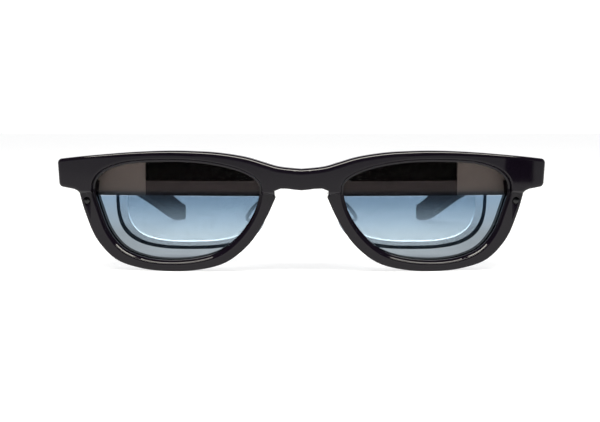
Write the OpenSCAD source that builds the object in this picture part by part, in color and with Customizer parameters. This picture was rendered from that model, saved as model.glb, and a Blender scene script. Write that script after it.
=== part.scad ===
// Extended reality glasses with see-through display optics in a glossy black frame.
// X runs across the face (the wearer's left is +X), Y runs back along the temples, Z is up.
// The glasses stand open on the lower rims and the two ear tips, at z = 0.

/* [Front frame] */
// Width across the two end lugs
front_w = 148; // [142:0.5:154]
// Height of the brow above the bottom of the rims
front_h = 36.4; // [35.5:0.1:38]
// Depth from the face of the bridge to the ends of the ear tips
overall_d = 153; // [146:0.5:160]
// Radius that the front is bent to, seen from above
wrap_r = 380; // [320:5:500]
// Thickness of the front frame
front_t = 5; // [4.6:0.1:5.6]
// How far the lower rims stand back from the brow
rim_step = 0.8; // [0.4:0.1:1]
// Height of the top of the bridge
bridge_top = 31.05; // [30.5:0.05:32]
// Height of the underside of the bridge
bridge_bottom = 24.65; // [24.3:0.05:25.2]
// Gap between the upper corners of the two nose rims
nose_gap = 15.4; // [14.4:0.1:16.4]
// Height of the top of the end lugs
lug_top = 33.9; // [33.2:0.1:34.6]
// Height of the underside of the end lugs
lug_bottom = 24.7; // [24.2:0.1:25.2]
// Radius of the corners of the end lugs
lug_corner = 1.4; // [1:0.1:2]

/* [Front lenses] */
// Width of a lens opening
lens_w = 51.7; // [50:0.1:53]
// Height of a lens opening
lens_h = 31.35; // [30.5:0.05:31.8]
// Distance between the two lens openings
lens_gap = 23.4; // [22.4:0.1:24.4]
// Thickness of a front lens
lens_t = 2.2; // [1.6:0.1:2.6]
// How far the lip in front of the lens reaches in from the opening
lip_w = 0.8; // [0.5:0.1:1.2]
// Depth of the lip from front to back
lip_t = 0.8; // [0.5:0.1:1]
// Width of the rim below a lens
rim_bottom_w = 2.4; // [2:0.1:3]
// Width of the rim beside the nose
rim_nose_w = 3.2; // [2.8:0.1:3.6]
// Width of the rim beside the temple
rim_side_w = 4; // [3.6:0.1:4.4]

/* [Rear frame] */
// Thickness of the rear frame behind the lower rims
rear_t = 3; // [2.4:0.1:3.6]
// How far the rear frame stands in from the outline of the front frame
rear_inset = 0.35; // [0.2:0.05:0.6]
// Wall of the hood over the optics
hood_wall = 1; // [0.9:0.1:1.2]
// Height of the lower edge of the hood
hood_z = 22.6; // [22:0.1:23.2]
// How far the top of the hood stands below the line of the brow
hood_drop = 1; // [0.8:0.1:1.2]
// Depth from the face of the bridge to the back of the hood
hood_d = 26.9; // [26.3:0.1:27.5]
// Depth from the face of the bridge to the back of the bridge
bridge_d = 14.5; // [13.5:0.1:15.5]
// Length of the display window in the fascia behind each lens
window_w = 33; // [30:0.5:35]

/* [Optics] */
// Distance between the two optical axes
ipd = 68; // [66:0.5:69]
// Height of the optical axes
axis_z = 19; // [18:0.1:20]
// Radius of the curved mirror
mirror_r = 60; // [56:1:70]
// Depth from the face of the bridge to the nearest point of the mirror
mirror_y = 8.7; // [8.6:0.1:9.2]
// Width of the curved mirror
mirror_w = 47; // [44:0.5:47.2]
// Height of the lowest point of the mirror
mirror_bottom = 5.8; // [5.4:0.1:7]
// Thickness of the mirror
mirror_t = 1.5; // [1:0.1:1.8]
// Thickness of the beam splitter plate
splitter_t = 0.9; // [0.7:0.05:1.2]
// Angle of the beam splitter from the vertical
splitter_angle = 37; // [35:0.5:38]
// Width of the display panel
panel_w = 15.5; // [13:0.1:17]
// Depth of the display panel from front to back
panel_d = 9.6; // [8.5:0.1:10.5]
// Thickness of the display panel
panel_t = 1.4; // [1:0.1:1.8]
// Thickness of the projection lens at its middle
field_lens_t = 3.2; // [2.6:0.1:3.4]

/* [Hinges] */
// Distance of a hinge pin from the middle of the glasses
hinge_x = 65.5; // [64.8:0.1:66]
// Depth from the face of the bridge to the hinge pins
hinge_y = 29; // [28.6:0.1:30]
// Radius of the hinge pin
pin_r = 0.6; // [0.5:0.05:0.7]
// Radius of the hinge knuckles
knuckle_r = 1.7; // [1.5:0.05:1.8]
// Height of the whole knuckle stack
knuckle_h = 7; // [6:0.1:7.4]
// Thickness of the hinge leaves
leaf_t = 1; // [0.8:0.05:1.1]
// Length of the hinge leaves behind or in front of the knuckles
leaf_l = 9; // [8:0.1:10]
// Height of the hinge leaves
leaf_h = 5; // [4.4:0.1:5.6]
// Radius of the small machine screws
screw_r = 0.6; // [0.5:0.05:0.7]

/* [Temples] */
// Thickness of a temple at the hinge
temple_w = 7; // [6.6:0.1:7.6]
// Thickness of a temple at the end of the ear tip
tip_w = 4.4; // [4:0.1:5]
// How far the end of a temple comes in towards the head
toe_in = 14.5; // [12:0.5:16]
// Wall of the temple casing
case_wall = 1.1; // [0.9:0.05:1.3]
// Share of the temple's length that is casing and not ear tip
case_share = 0.6; // [0.56:0.01:0.64]
// Length of the speaker module
speaker_l = 15; // [12:0.5:17]
// Thickness of the circuit boards
board_t = 0.8; // [0.6:0.05:1]
// Radius of the springy core of the ear tips
core_r = 0.7; // [0.5:0.05:0.9]
// Travel of the push buttons
button_travel = 0.4; // [0.2:0.05:0.5]
// Length of the brightness rocker
rocker_l = 13; // [11:0.5:15]
// Length of the mode button
mode_l = 5; // [4:0.1:6]
// Length of the power button
power_l = 6; // [5:0.1:7]
// Width of all the buttons
button_w = 2.2; // [1.8:0.1:2.6]

/* [Nose piece] */
// Height of a nose pad
pad_h = 13; // [11:0.5:14]
// Depth of a nose pad from front to back
pad_d = 7.5; // [6.5:0.1:8]
// Thickness of a nose pad
pad_t = 2.4; // [2:0.1:2.8]
// Gap between the two pads at mid height
pad_gap = 26.5; // [25:0.5:28]
// Angle of each pad from the vertical, as the nose widens downwards
pad_splay = 28; // [24:1:32]
// Radius of the pad arms
wire_r = 0.6; // [0.5:0.05:0.7]

/* [Tracking cameras and port] */
// Radius of the hole in the rim for a tracking camera
camera_r = 1.2; // [1:0.05:1.3]
// Width of the mouth of the charging and display port
port_w = 8.34; // [8:0.02:8.4]
// Height of the mouth of the port
port_h = 2.56; // [2.4:0.02:2.6]
// Depth of the port
port_d = 6.2; // [5.8:0.1:6.6]

/* [Hidden] */
RIGHT = -1;
LEFT = 1;
steps = 5;            // straight pieces between two control points of a curve
big = 400;            // longer than the whole object
over = 10;            // how far a cut runs on past what it cuts
clear = 0.15;         // assembly clearance between rigid pieces
slack = 0.05;         // running clearance of pins in their bores
half_w = front_w / 2;
eye_x = (lens_gap + lens_w) / 2;
step_z = lug_bottom - 1;

// Curves through hand-set control points
function catmull(a, b, c, d, t) = 0.5 * (2 * b + (c - a) * t + (2 * a - 5 * b + 4 * c - d) * t * t
  + (3 * b - a - 3 * c + d) * t * t * t);
function open_curve(p, n = steps) = let (m = len(p)) concat(
  [for (i = [0 : m - 2], k = [0 : n - 1])
    catmull(p[max(i - 1, 0)], p[i], p[i + 1], p[min(i + 2, m - 1)], k / n)], [p[m - 1]]);
function closed_curve(p, n = steps) = let (m = len(p))
  [for (i = [0 : m - 1], k = [0 : n - 1])
    catmull(p[(i + m - 1) % m], p[i], p[(i + 1) % m], p[(i + 2) % m], k / n)];
function reversed(p) = [for (i = [len(p) - 1 : -1 : 0]) p[i]];
function tail(p) = [for (i = [1 : len(p) - 1]) p[i]];
function mirrored(p) = [for (v = p) [-v[0], v[1]]];

// A lens opening as shares of its width and height, from the temple side round over the top
LENS = [[0.501, 0.70], [0.482, 0.823], [0.41, 0.919], [0.286, 0.979], [0.106, 1.0], [-0.097, 0.995],
  [-0.265, 0.957], [-0.397, 0.893], [-0.48, 0.804], [-0.499, 0.686], [-0.464, 0.478], [-0.379, 0.262],
  [-0.261, 0.099], [-0.116, 0.022], [0.054, 0.0], [0.203, 0.029], [0.329, 0.118], [0.418, 0.293],
  [0.472, 0.523]];
FIRST_NOSE = 9;       // the lens point where the nose rim starts
LOWEST = 14;          // the lens point at the bottom of the rim
lens_n = len(LENS);
function lens_point(i) = let (v = LENS[(i + lens_n) % lens_n])
  [eye_x + v[0] * lens_w, rim_bottom_w + v[1] * lens_h];
function outward(i) = let (d = lens_point(i + 1) - lens_point(i - 1), u = d / norm(d)) [u[1], -u[0]];
function lens_outline(e = 0) = closed_curve([for (i = [0 : lens_n - 1]) lens_point(i) + e * outward(i)]);

// Width of the rim at each lens point: the nose side, the bottom and the temple side
NOSE_SHARE = [1, 1, 0.95, 0.72, 0.25, 0];
SIDE_SHARE = [0, 0.12, 0.55, 0.85, 1, 1];
foot = 0.06;          // what is cut off the lowest point of each rim to give it a flat land
function rim_w(i) = i == LOWEST ? rim_bottom_w + foot : i < LOWEST
  ? rim_bottom_w + (rim_nose_w - rim_bottom_w) * NOSE_SHARE[i - FIRST_NOSE]
  : rim_bottom_w + (rim_side_w - rim_bottom_w) * SIDE_SHARE[i - LOWEST];
function rim_point(i, e) = lens_point(i) + (rim_w(i) - e) * outward(i);

// The brow as shares of the way out and of the rise from the bridge, then of the fall to the lug
BROW_RISE = [[0, 0], [0.17, 0.12], [0.296, 0.365], [0.42, 0.626], [0.546, 0.794], [0.674, 0.906],
  [0.8, 0.963], [1, 1]];
BROW_FALL = [[0.205, 0.06], [0.412, 0.22], [0.624, 0.46], [0.838, 0.74], [1, 1]];
function brow_points(e) = concat(
  [for (v = BROW_RISE) [v[0] * eye_x, bridge_top + v[1] * (front_h - bridge_top) - e]],
  [for (v = BROW_FALL)
    [eye_x + v[0] * (half_w - lug_corner - eye_x), front_h - v[1] * (front_h - lug_top) - e]]);
// The top of the hood, across both sides: the brow's line drawn in by e, and lower behind the eyes
HOOD_DIP = [0.4, 0.5, 0.8];
function hood_line(e) = let (b = brow_points(e), h = open_curve([for (i = [0 : len(b) - 1])
  b[i] - [0, hood_drop * (i < len(HOOD_DIP) ? HOOD_DIP[i] : 1)]]))
  concat(reversed(mirrored(tail(h))), h);
function arc(c, r, a0, a1, n = 5) = [for (k = [0 : n])
  let (a = a0 + (a1 - a0) * k / n) c + r * [cos(a), sin(a)]];

// One half of the front outline, from the top of the bridge round to its underside, drawn in by e
function half_outline(e = 0) = let (
  lug_foot = [rim_point(lens_n, e)[0] + 1.6, lug_bottom - 0.1 + e],
  rim = concat([rim_point(lens_n, e) - [0, 0.6]],
    [for (i = [lens_n - 1 : -1 : FIRST_NOSE + 1]) rim_point(i, e)]),
  corner = [nose_gap / 2 + e, bridge_bottom - 2.2])
  concat(
    open_curve(brow_points(e)),
    tail(arc([half_w - lug_corner, lug_top - lug_corner], lug_corner - e, 85, 0)),
    arc([half_w - lug_corner - 0.3, lug_bottom + 0.5 + lug_corner], lug_corner - e, 0, -80),
    [lug_foot, lug_foot - [1.1, 0.5]],
    open_curve(concat(rim, [corner])),
    [corner + [0.35, 1.0], corner + [0.3, 2.0 + e]],
    open_curve([[nose_gap / 2 - 1.5, bridge_bottom + 0.5 + e], [nose_gap / 2 - 3.6, bridge_bottom + 0.45 + e],
      [0.14 * nose_gap, bridge_bottom + 0.2 + e], [0, bridge_bottom + e]]));
function front_outline(e = 0) = let (h = half_outline(e), m = len(h))
  concat(h, reversed(mirrored([for (i = [1 : m - 2]) h[i]])));

// The curved mirror's outline, a D with its round side down, as shares of half its width and of its drop
MIRROR_D = [[1, 0.9], [0.985, 0.65], [0.935, 0.42], [0.82, 0.22], [0.62, 0.08], [0.33, 0.012], [0, 0]];
mirror_top = front_h - 6.4;
engine_x = ipd / 2;
function mirror_outline(e = 0) = let (
  drop = axis_z + 3 - mirror_bottom,
  half = [for (v = MIRROR_D) [v[0] * (mirror_w / 2 - e), mirror_bottom + e + v[1] * drop]],
  side = open_curve(half))
  [for (v = concat([[mirror_w / 2 - e, mirror_top - e]], side,
    reversed(mirrored([for (i = [0 : len(side) - 2]) side[i]])), [[-mirror_w / 2 + e, mirror_top - e]]))
    [engine_x + v[0], v[1]]];

// Placing helpers
module at_origin() { translate([0, -overall_d / 2, 0]) children(); }
module side(s) { if (s == LEFT) children(); else mirror([1, 0, 0]) children(); }
module both() { for (s = [RIGHT, LEFT]) side(s) children(); }
module slab(points, y0, y1) {
  translate([0, y1, 0]) rotate([90, 0, 0]) linear_extrude(y1 - y0) polygon(points);
}
module plan(points, z0, z1) { translate([0, 0, z0]) linear_extrude(z1 - z0) polygon(points); }
module box(x, y, z) { translate([x[0], y[0], z[0]]) cube([x[1] - x[0], y[1] - y[0], z[1] - z[0]]); }
module behind_wrap(y) { translate([0, wrap_r, -big / 2]) cylinder(r = wrap_r - y, h = big, $fn = 360); }
// A slab of the outline between two depths, bent round the face
module wrapped(points, y0, y1) {
  difference() {
    intersection() {
      slab(points, y0 - 1, y1 + wrap_sag(half_w) + 1);
      behind_wrap(y0);
    }
    behind_wrap(y1);
  }
}
module rod(a, b, r) {
  d = b - a;
  translate(a) rotate([0, acos(d[2] / norm(d)), atan2(d[1], d[0])]) cylinder(r = r, h = norm(d), $fn = 24);
}
bend_swell = 1.2;     // a wire is a little fatter at its bends than along its straights
module bend(p, r) { translate(p) sphere(r = r * bend_swell, $fn = 24); }
function wrap_sag(x) = wrap_r - sqrt(wrap_r * wrap_r - x * x);

// Front frame
lip_front = front_t - lens_t - lip_t - slack;
camera_x = eye_x + 0.485 * lens_w + rim_side_w * 0.62;
camera_drop = 3.6;    // how far a camera sits below the underside of the lug
camera_z = lug_bottom - camera_drop;
module camera_bore(r, y0, y1) {
  translate([camera_x, y1, camera_z]) rotate([90, 0, 0]) cylinder(r = r, h = y1 - y0, $fn = 32);
}
module front_frame() {
  color("#1b1a1d")
    difference() {
      wrapped(front_outline(), 0, front_t);
      wrapped([[-big / 4, -over], [big / 4, -over], [big / 4, step_z], [-big / 4, step_z]], -1, rim_step);
      both() {
        wrapped(lens_outline(), -1, lip_front);
        wrapped(lens_outline(-lip_w), -1, front_t + 1);
        wrapped(lens_outline(), lip_front + lip_t, front_t + 1);
        camera_bore(camera_r, -1, front_t + over);
      }
      box([-big, big], [-1, big], [-over, 0]);
    }
}
module front_lens(s) {
  color("#30465c", 0.6) side(s)
    wrapped(lens_outline(-clear), lip_front + lip_t + slack / 2, front_t - slack / 2);
}

// Rear frame: rims, hood over the optics and the blocks that carry the hinges
block_x0 = hinge_x + 0.3;
block_x1 = half_w - rear_inset - 0.4;
block_y1 = hinge_y - clear;
splitter_in = 2.2;    // how far a splitter's outline stands in from its mirror's
housing_wall = 1;
housing_half = mirror_w / 2 - splitter_in + 0.1 + housing_wall;
slot_half = mirror_w / 2 + 0.5;
slot_back = mirror_y + mirror_r + 0.4
  - sqrt(pow(mirror_r - mirror_t, 2) - pow(mirror_w / 2, 2) - pow(mirror_top - axis_z, 2));
bay_half = housing_half + 0.4;
hood_corner = 3;
bay_front = front_t + 1.4;
bay_back = hood_d - hood_wall;
hinge_z = (lug_top + lug_bottom) / 2 - 0.2;
function hood_plan() = let (
  xf = engine_x - slot_half - hood_wall,
  xr = engine_x - bay_half - hood_wall,
  xb = engine_x + bay_half + hood_wall,
  yc = hood_d - hood_corner,
  h = concat(
    open_curve([[0, bridge_d], [0.5 * xf, bridge_d + 0.1], [0.84 * xf, bridge_d + 0.8],
      [xf, bridge_d + 2.6]]),
    [[xr, slot_back + hood_wall + 1.5]],
    arc([xr + hood_corner, yc], hood_corner, 180, 90),
    arc([xb - hood_corner, yc], hood_corner, 90, 0),
    [[engine_x + slot_half + hood_wall, slot_back + hood_wall],
    [block_x0, hinge_y - knuckle_r - leaf_l - 0.6],
    [block_x0, block_y1], [block_x1, block_y1], [block_x1, 0]]))
  concat(h, reversed(mirrored(tail(h))));
module under_hood_line(e) { slab(concat(hood_line(e), [[half_w, -over], [-half_w, -over]]), 0, bay_back); }
module engine_bay() {
  intersection() {
    under_hood_line(rear_inset + hood_wall);
    union() {
      box([engine_x - bay_half, engine_x + bay_half], [0, bay_back], [hood_z - 0.3, big]);
      box([engine_x - slot_half, engine_x + slot_half], [0, slot_back], [hood_z - 0.3, big]);
    }
    behind_wrap(bay_front);
  }
}
band_h = 5.5;         // height of the plain band of the fascia below a display window
module fascia_window() {
  x0 = eye_x - 0.45 * lens_w;
  x1 = x0 + window_w;
  z0 = hood_z + band_h;
  wrapped([[x0, z0], [x1, z0], [x1, front_h], [x0, front_h]], front_t - 1, front_t + 0.7);
}
hood_end = block_x0 - 3;
module above_hood_line() {
  intersection() {
    slab(concat(hood_line(rear_inset), [[half_w, big / 8], [-half_w, big / 8]]), 0, big / 8);
    box([-hood_end, hood_end], [0, big / 4], [0, big]);
  }
}
module knuckle_room(r) { translate([hinge_x, hinge_y, 0]) cylinder(r = r, h = big, $fn = 48); }
board_bay = engine_x - slot_half - 1;
module rear_frame() {
  color("#232226")
    difference() {
      intersection() {
        slab(front_outline(rear_inset), front_t - 1, block_y1);
        behind_wrap(front_t);
        plan(hood_plan(), -1, big);
      }
      intersection() {
        behind_wrap(front_t + rear_t);
        box([-big, big], [0, big], [-over, hood_z]);
      }
      both() {
        intersection() {
          wrapped(lens_outline(-lip_w), front_t - 1, front_t + rear_t + 2 * over);
          box([0, big], [0, big], [-1, hood_z]);
        }
        engine_bay();
        intersection() {
          fascia_window();
          wrapped(lens_outline(-lip_w), 0, big / 4);
        }
        knuckle_room(knuckle_r + 0.3);
        camera_bore(camera_r, front_t, camera_back);
        front_leaf_holes();
      }
      above_hood_line();
      box([-board_bay, board_bay], [front_t + 1.6, beam_y], board_room_z);
      beam_room(0.1);
      proximity_hole(0);
      bracket_socket();
    }
}

// Optics
module curved_mirror(s) {
  color("#7f93a8", 0.45) side(s)
    intersection() {
      slab(mirror_outline(), 0, bay_back);
      translate([engine_x, mirror_y + mirror_r, axis_z]) difference() {
        sphere(r = mirror_r, $fn = 180);
        sphere(r = mirror_r - mirror_t, $fn = 180);
      }
    }
}
splitter_foot_z = mirror_bottom + splitter_in;
splitter_foot_y = mirror_y + mirror_r + 0.65
  - sqrt(pow(mirror_r - mirror_t, 2) - pow(axis_z - splitter_foot_z, 2));
housing_back = bay_back - 1.4;
// Everything behind the splitter's front face pushed back by e
module behind_splitter(e) {
  translate([0, splitter_foot_y, splitter_foot_z]) rotate([-splitter_angle, 0, 0])
    translate([-big / 2, e, -big / 2]) cube(big);
}
module beam_splitter(s) {
  color("#9fb4c4", 0.35) side(s)
    difference() {
      intersection() {
        slab(mirror_outline(splitter_in), 0, housing_back - slack);
        behind_splitter(0);
      }
      behind_splitter(splitter_t);
    }
}
housing_top = front_h - rear_inset - hood_drop - hood_wall - 0.2;
roof_t = 1;           // roof of an engine housing
panel_z = housing_top - roof_t - board_t - slack - panel_t;
panel_y = (splitter_foot_y + 1 + housing_back) / 2;
lens_top = panel_z - 0.25;
well_half = panel_w / 2 + 1.3;
module engine_housing(s) {
  color("#0b0b0c") side(s)
    difference() {
      intersection() {
        under_hood_line(rear_inset + hood_wall + clear);
        box([engine_x - housing_half, engine_x + housing_half], [0, bay_back - clear],
          [hood_z + 0.2, housing_top]);
        translate([engine_x, mirror_y + mirror_r, axis_z]) sphere(r = mirror_r - mirror_t - slack, $fn = 180);
      }
      box([engine_x - housing_half + housing_wall, engine_x + housing_half - housing_wall],
        [0, housing_back], [0, lens_top - field_lens_t + slack]);
      well(well_half, panel_d / 2 + slack, lens_top - field_lens_t - 1, housing_top - roof_t);
      well(panel_w / 2 + 3.1, panel_d / 2 + 0.8, panel_z + panel_t - slack, housing_top - roof_t);
    }
}
module well(hx, hy, z0, z1) { box([engine_x - hx, engine_x + hx], [panel_y - hy, panel_y + hy], [z0, z1]); }
module display_panel(s) {
  color("#2a2233") side(s) well(panel_w / 2, panel_d / 2 - clear, panel_z, panel_z + panel_t);
}
module display_board(s) {
  color("#24502f") side(s) {
    well(panel_w / 2 + 3, panel_d / 2 + 0.7, panel_z + panel_t, panel_z + panel_t + board_t);
  }
}
module projection_lens(s) {
  color("#c9d6df", 0.4) side(s)
    intersection() {
      well(well_half - slack, panel_d / 2 - slack, lens_top - field_lens_t, lens_top);
      translate([engine_x, panel_y, lens_top - field_lens_t + 34]) rotate([90, 0, 0])
        cylinder(r = 34, h = panel_d * 2, center = true, $fn = 180);
    }
}

// Bridge: the beam that keeps the two engines in line, a circuit board and the proximity window
board_room_z = [bridge_bottom + 2, bridge_top - 1.6];
beam_y = bridge_d - 3.3;
bridge_board_y = beam_y - 1.1;
beam_half = engine_x - housing_half - slack;
module beam_room(e) {
  box([-beam_half - e, beam_half + e], [beam_y - e, beam_y + 0.9 + e],
    [board_room_z[0] + 0.4 - e, board_room_z[1] - 1 + e]);
}
module alignment_beam() { color("#8a8d92") beam_room(0); }
module bridge_board() {
  color("#1f4a2b") {
    box([-board_bay + clear, board_bay - clear], [bridge_board_y - board_t, bridge_board_y],
      [board_room_z[0] + clear, board_room_z[1] - clear]);
    for (k = [-1, 0, 1]) box([k * 5 - 1.4, k * 5 + 1.4], [bridge_board_y, bridge_board_y + 0.8],
      [board_room_z[0] + 0.8, board_room_z[1] - 0.8]);
  }
}
prox_x = 4.2;
prox_z = bridge_top - 2.3;
module proximity_hole(e) {
  translate([prox_x, bridge_d + 1, prox_z]) rotate([90, 0, 0]) linear_extrude(3) union() {
    square([2.4, 1.6 - 2 * e], center = true);
    for (k = [-1, 1]) translate([k * 1.2, 0]) circle(r = 0.8 - e, $fn = 24);
  }
}
module proximity_window() {
  color("#101014")
    intersection() {
      proximity_hole(slack);
      box([-big, big], [bridge_d - 1.6, bridge_d - 0.1], [0, big]);
    }
}

// Tracking cameras in the rims below the end lugs
camera_face = rim_step + wrap_sag(camera_x);
camera_back = front_t + wrap_sag(camera_x) + 1.8;
module tracking_camera(s) {
  color("#15151a") side(s) difference() {
    camera_bore(camera_r - slack, camera_face + 1.0, camera_back - 0.1);
    camera_bore(camera_r * 0.45, camera_face, camera_face + 2.2);
  }
}
module camera_window(s) {
  color("#2c3a4a", 0.7) side(s) camera_bore(camera_r - slack, camera_face + 0.35, camera_face + 0.95);
}

// Hinges
gap = 0.1;            // clearance between neighbouring knuckles
knuckle_z0 = hinge_z - knuckle_h / 2;
third = (knuckle_h - 2 * gap) / 3;
leaf_x = block_x0 - leaf_t - slack;
module knuckle(z0, z1) { translate([hinge_x, hinge_y, z0]) cylinder(r = knuckle_r, h = z1 - z0, $fn = 48); }
module pin_bore() { translate([hinge_x, hinge_y, 0]) cylinder(r = pin_r + slack, h = big, $fn = 32); }
function leaf_holes_y(front) = front
  ? [hinge_y - knuckle_r - 0.7 - leaf_l * 0.8, hinge_y - knuckle_r - 0.7 - leaf_l * 0.3]
  : [hinge_y + knuckle_r + 0.7 + leaf_l * 0.3, hinge_y + knuckle_r + 0.7 + leaf_l * 0.8];
module leaf_bores(front, r, x0, x1) {
  for (y = leaf_holes_y(front)) translate([x0, y, hinge_z]) rotate([0, 90, 0])
    cylinder(r = r, h = x1 - x0, $fn = 24);
}
module front_leaf_holes() { leaf_bores(true, screw_r + slack, leaf_x - 1, block_x0 + 3); }
module front_leaf(s) {
  color("#b9bbbf") side(s)
    difference() {
      union() {
        knuckle(knuckle_z0, knuckle_z0 + third);
        knuckle(knuckle_z0 + knuckle_h - third, knuckle_z0 + knuckle_h);
        difference() {
          box([leaf_x, leaf_x + leaf_t], [hinge_y - knuckle_r - leaf_l, hinge_y],
            [hinge_z - leaf_h / 2, hinge_z + leaf_h / 2]);
          translate([hinge_x, hinge_y, hinge_z])
            cylinder(r = knuckle_r + 0.25, h = third + 2 * gap, center = true, $fn = 48);
        }
        for (z = [knuckle_z0, knuckle_z0 + knuckle_h - third])
          box([leaf_x, leaf_x + leaf_t], [hinge_y - knuckle_r - 1, hinge_y], [z, z + third]);
      }
      pin_bore();
      leaf_bores(true, screw_r + slack, leaf_x - 1, block_x0 + 3);
    }
}
module temple_leaf(s) {
  color("#b9bbbf") side(s)
    difference() {
      union() {
        knuckle(hinge_z - third / 2, hinge_z + third / 2);
        box([leaf_x, leaf_x + leaf_t], [hinge_y + knuckle_r + 0.4, hinge_y + knuckle_r + leaf_l],
          [hinge_z - leaf_h / 2, hinge_z + leaf_h / 2]);
        box([leaf_x, leaf_x + leaf_t], [hinge_y, hinge_y + knuckle_r + 1],
          [hinge_z - third / 2, hinge_z + third / 2]);
      }
      pin_bore();
      leaf_bores(false, screw_r + slack, leaf_x - 1, block_x0 + 3);
    }
}
module hinge_pin(s) {
  color("#d0d2d6") side(s) translate([hinge_x, hinge_y, knuckle_z0]) {
    cylinder(r = pin_r, h = knuckle_h + 0.1, $fn = 32);
    translate([0, 0, knuckle_h + slack]) difference() {
      cylinder(r = knuckle_r - 0.3, h = 0.6, $fn = 32);
      box([-2, 2], [-0.15, 0.15], [0.3, 1]);
    }
  }
}
module leaf_screw(y, depth) {
  translate([leaf_x - 0.02, y, hinge_z]) rotate([0, 90, 0])
    cylinder(r = screw_r, h = leaf_t + depth, $fn = 24);
  translate([leaf_x - 0.02, y, hinge_z]) rotate([0, -90, 0]) difference() {
    cylinder(r = screw_r * 1.7, h = 0.4, $fn = 24);
    box([-0.15, 0.15], [-2, 2], [0.2, 1]);
  }
}
module front_leaf_screws() { color("#c6c8cc") both() for (y = leaf_holes_y(true)) leaf_screw(y, 2); }

// Temples: the plan gives the centreline and the thickness, the side view gives top and bottom
CENTRE = [[0, 0], [0.15, 0], [0.33, 0.05], [0.5, 0.17], [0.66, 0.37], [0.83, 0.67], [1, 1]];
SLIM = [0, 0.02, 0.12, 0.32, 0.6, 0.85, 1];
TOP = [[0, 0], [0.15, -0.5], [0.33, -2.2], [0.5, -5.2], [0.62, -9.0], [0.74, -14.1], [0.86, -20.4],
  [0.95, -24.8], [0.985, -26.2], [1, -26.6]];
BOTTOM = [[0, 24.75], [0.1, 23.0], [0.2, 21.4], [0.33, 19.6], [0.47, 17.6], [0.58, 15.4], [0.68, 12.2],
  [0.78, 7.9], [0.87, 3.7], [0.935, 1.0], [0.965, 0.15], [0.98, 0], [0.995, 0], [1, 0.4]];
temple_x = block_x0 + temple_w / 2;
temple_y0 = hinge_y + clear;
case_y1 = temple_y0 + case_share * (overall_d - temple_y0);
function along(t) = temple_y0 + t * (overall_d - temple_y0);
function share(y) = (y - temple_y0) / (overall_d - temple_y0);
function centre_x(y) = temple_x - toe_in * lookup(share(y), CENTRE);
function bottom_at(y) = lookup(share(y), BOTTOM);
function top_at(y) = lug_top - 0.4 + lookup(share(y), TOP);
function half_at(i) = (temple_w + (tip_w - temple_w) * SLIM[i]) / 2;
// The centreline moved outwards by d, and the inner (k = -1) or outer (k = 1) face drawn in by e
function centre_line(d) = open_curve([for (v = CENTRE) [temple_x - toe_in * v[1] + d, along(v[0])]]);
function plan_edge(k, e) = open_curve([for (i = [0 : len(CENTRE) - 1])
  [temple_x - toe_in * CENTRE[i][1] + k * (half_at(i) - e), along(CENTRE[i][0])]]);
// The top and the underside seen from the side, moved inwards by e
function top_curve(e) = open_curve([for (v = TOP) [along(v[0]), lug_top - 0.4 + v[1] - e]]);
function under_curve(e) = open_curve([for (v = BOTTOM) [along(v[0]), v[1] + e]]);
module across(points) { rotate([90, 0, 90]) linear_extrude(big / 4) polygon(points); }
module profile(e) { across(concat(top_curve(e), reversed(under_curve(e)))); }
// The layer between two depths above the underside, or below the top
module under_layer(e0, e1) { across(concat(under_curve(e1), reversed(under_curve(e0)))); }
module top_layer(e0, e1) { across(concat(top_curve(e0), reversed(top_curve(e1)))); }
module between(inner, outer, y0, y1) {
  intersection() {
    plan(concat(inner, reversed(outer)), 0, big);
    box([0, big], [y0, y1], [0, big]);
    children();
  }
}
module temple_solid(e, y0, y1) { between(plan_edge(-1, e), plan_edge(1, e), y0, y1) profile(e); }
cover_y0 = temple_y0 + leaf_l + 4;
cover_y1 = case_y1 - 4;
cover_t = 1;
ledge = 0.3;          // width of the ledge that a cover lies on
module temple_cavity() {
  between(plan_edge(-1, cover_t - slack), plan_edge(1, case_wall), cover_y0 + ledge, cover_y1 - ledge)
    profile(case_wall);
}
module cover_room(e) {
  between(plan_edge(-1, -1), plan_edge(-1, cover_t - e), cover_y0 + e, cover_y1 - e)
    profile(case_wall - ledge + e);
}
module temple_leaf_holes() { leaf_bores(false, screw_r + slack, leaf_x - 1, block_x0 + 2.6); }
module temple_casing(s) {
  color("#1b1a1d") side(s)
    difference() {
      temple_solid(0, temple_y0, case_y1);
      difference() {
        temple_cavity();
        board_posts();
      }
      cover_room(0);
      knuckle_room(knuckle_r + 0.3);
      temple_leaf_holes();
      core_rod(slack);
      grille_slots();
      if (s == RIGHT) key_holes();
      if (s == LEFT) cable_run(2 * slack);
    }
}
module temple_cover(s) {
  color("#232226") side(s) intersection() {
    cover_room(0.08);
    between(plan_edge(-1, 0), plan_edge(1, 0), cover_y0, cover_y1) profile(0);
  }
}
module temple_screws(s) { color("#c6c8cc") side(s) for (y = leaf_holes_y(false)) leaf_screw(y, 1.6); }

// Ear tip with its springy core, which is pressed into the end of the casing
core_y = [case_y1 - 3.6, case_y1 + 9, case_y1 + 20];
function core_z(y) = (bottom_at(y) + top_at(y)) / 2;
module core_rod(e) {
  for (i = [0 : 1]) rod([centre_x(core_y[i]), core_y[i], core_z(core_y[i])],
    [centre_x(core_y[i + 1]), core_y[i + 1], core_z(core_y[i + 1])], core_r + e);
  bend([centre_x(core_y[1]), core_y[1], core_z(core_y[1])], core_r + e);
}
module tip_core(s) { color("#a7a9ad") side(s) core_rod(0); }
module ear_tip(s) {
  color("#26272b") side(s)
    difference() {
      temple_solid(0, case_y1 + slack, overall_d);
      core_rod(slack);
      if (s == LEFT) {
        port_frame()
          port_prism(port_h / 2 + port_wall + slack, port_w / 2 + port_wall + slack, -3, port_d + 0.4);
        cable_run(2 * slack);
      }
    }
}

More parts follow.
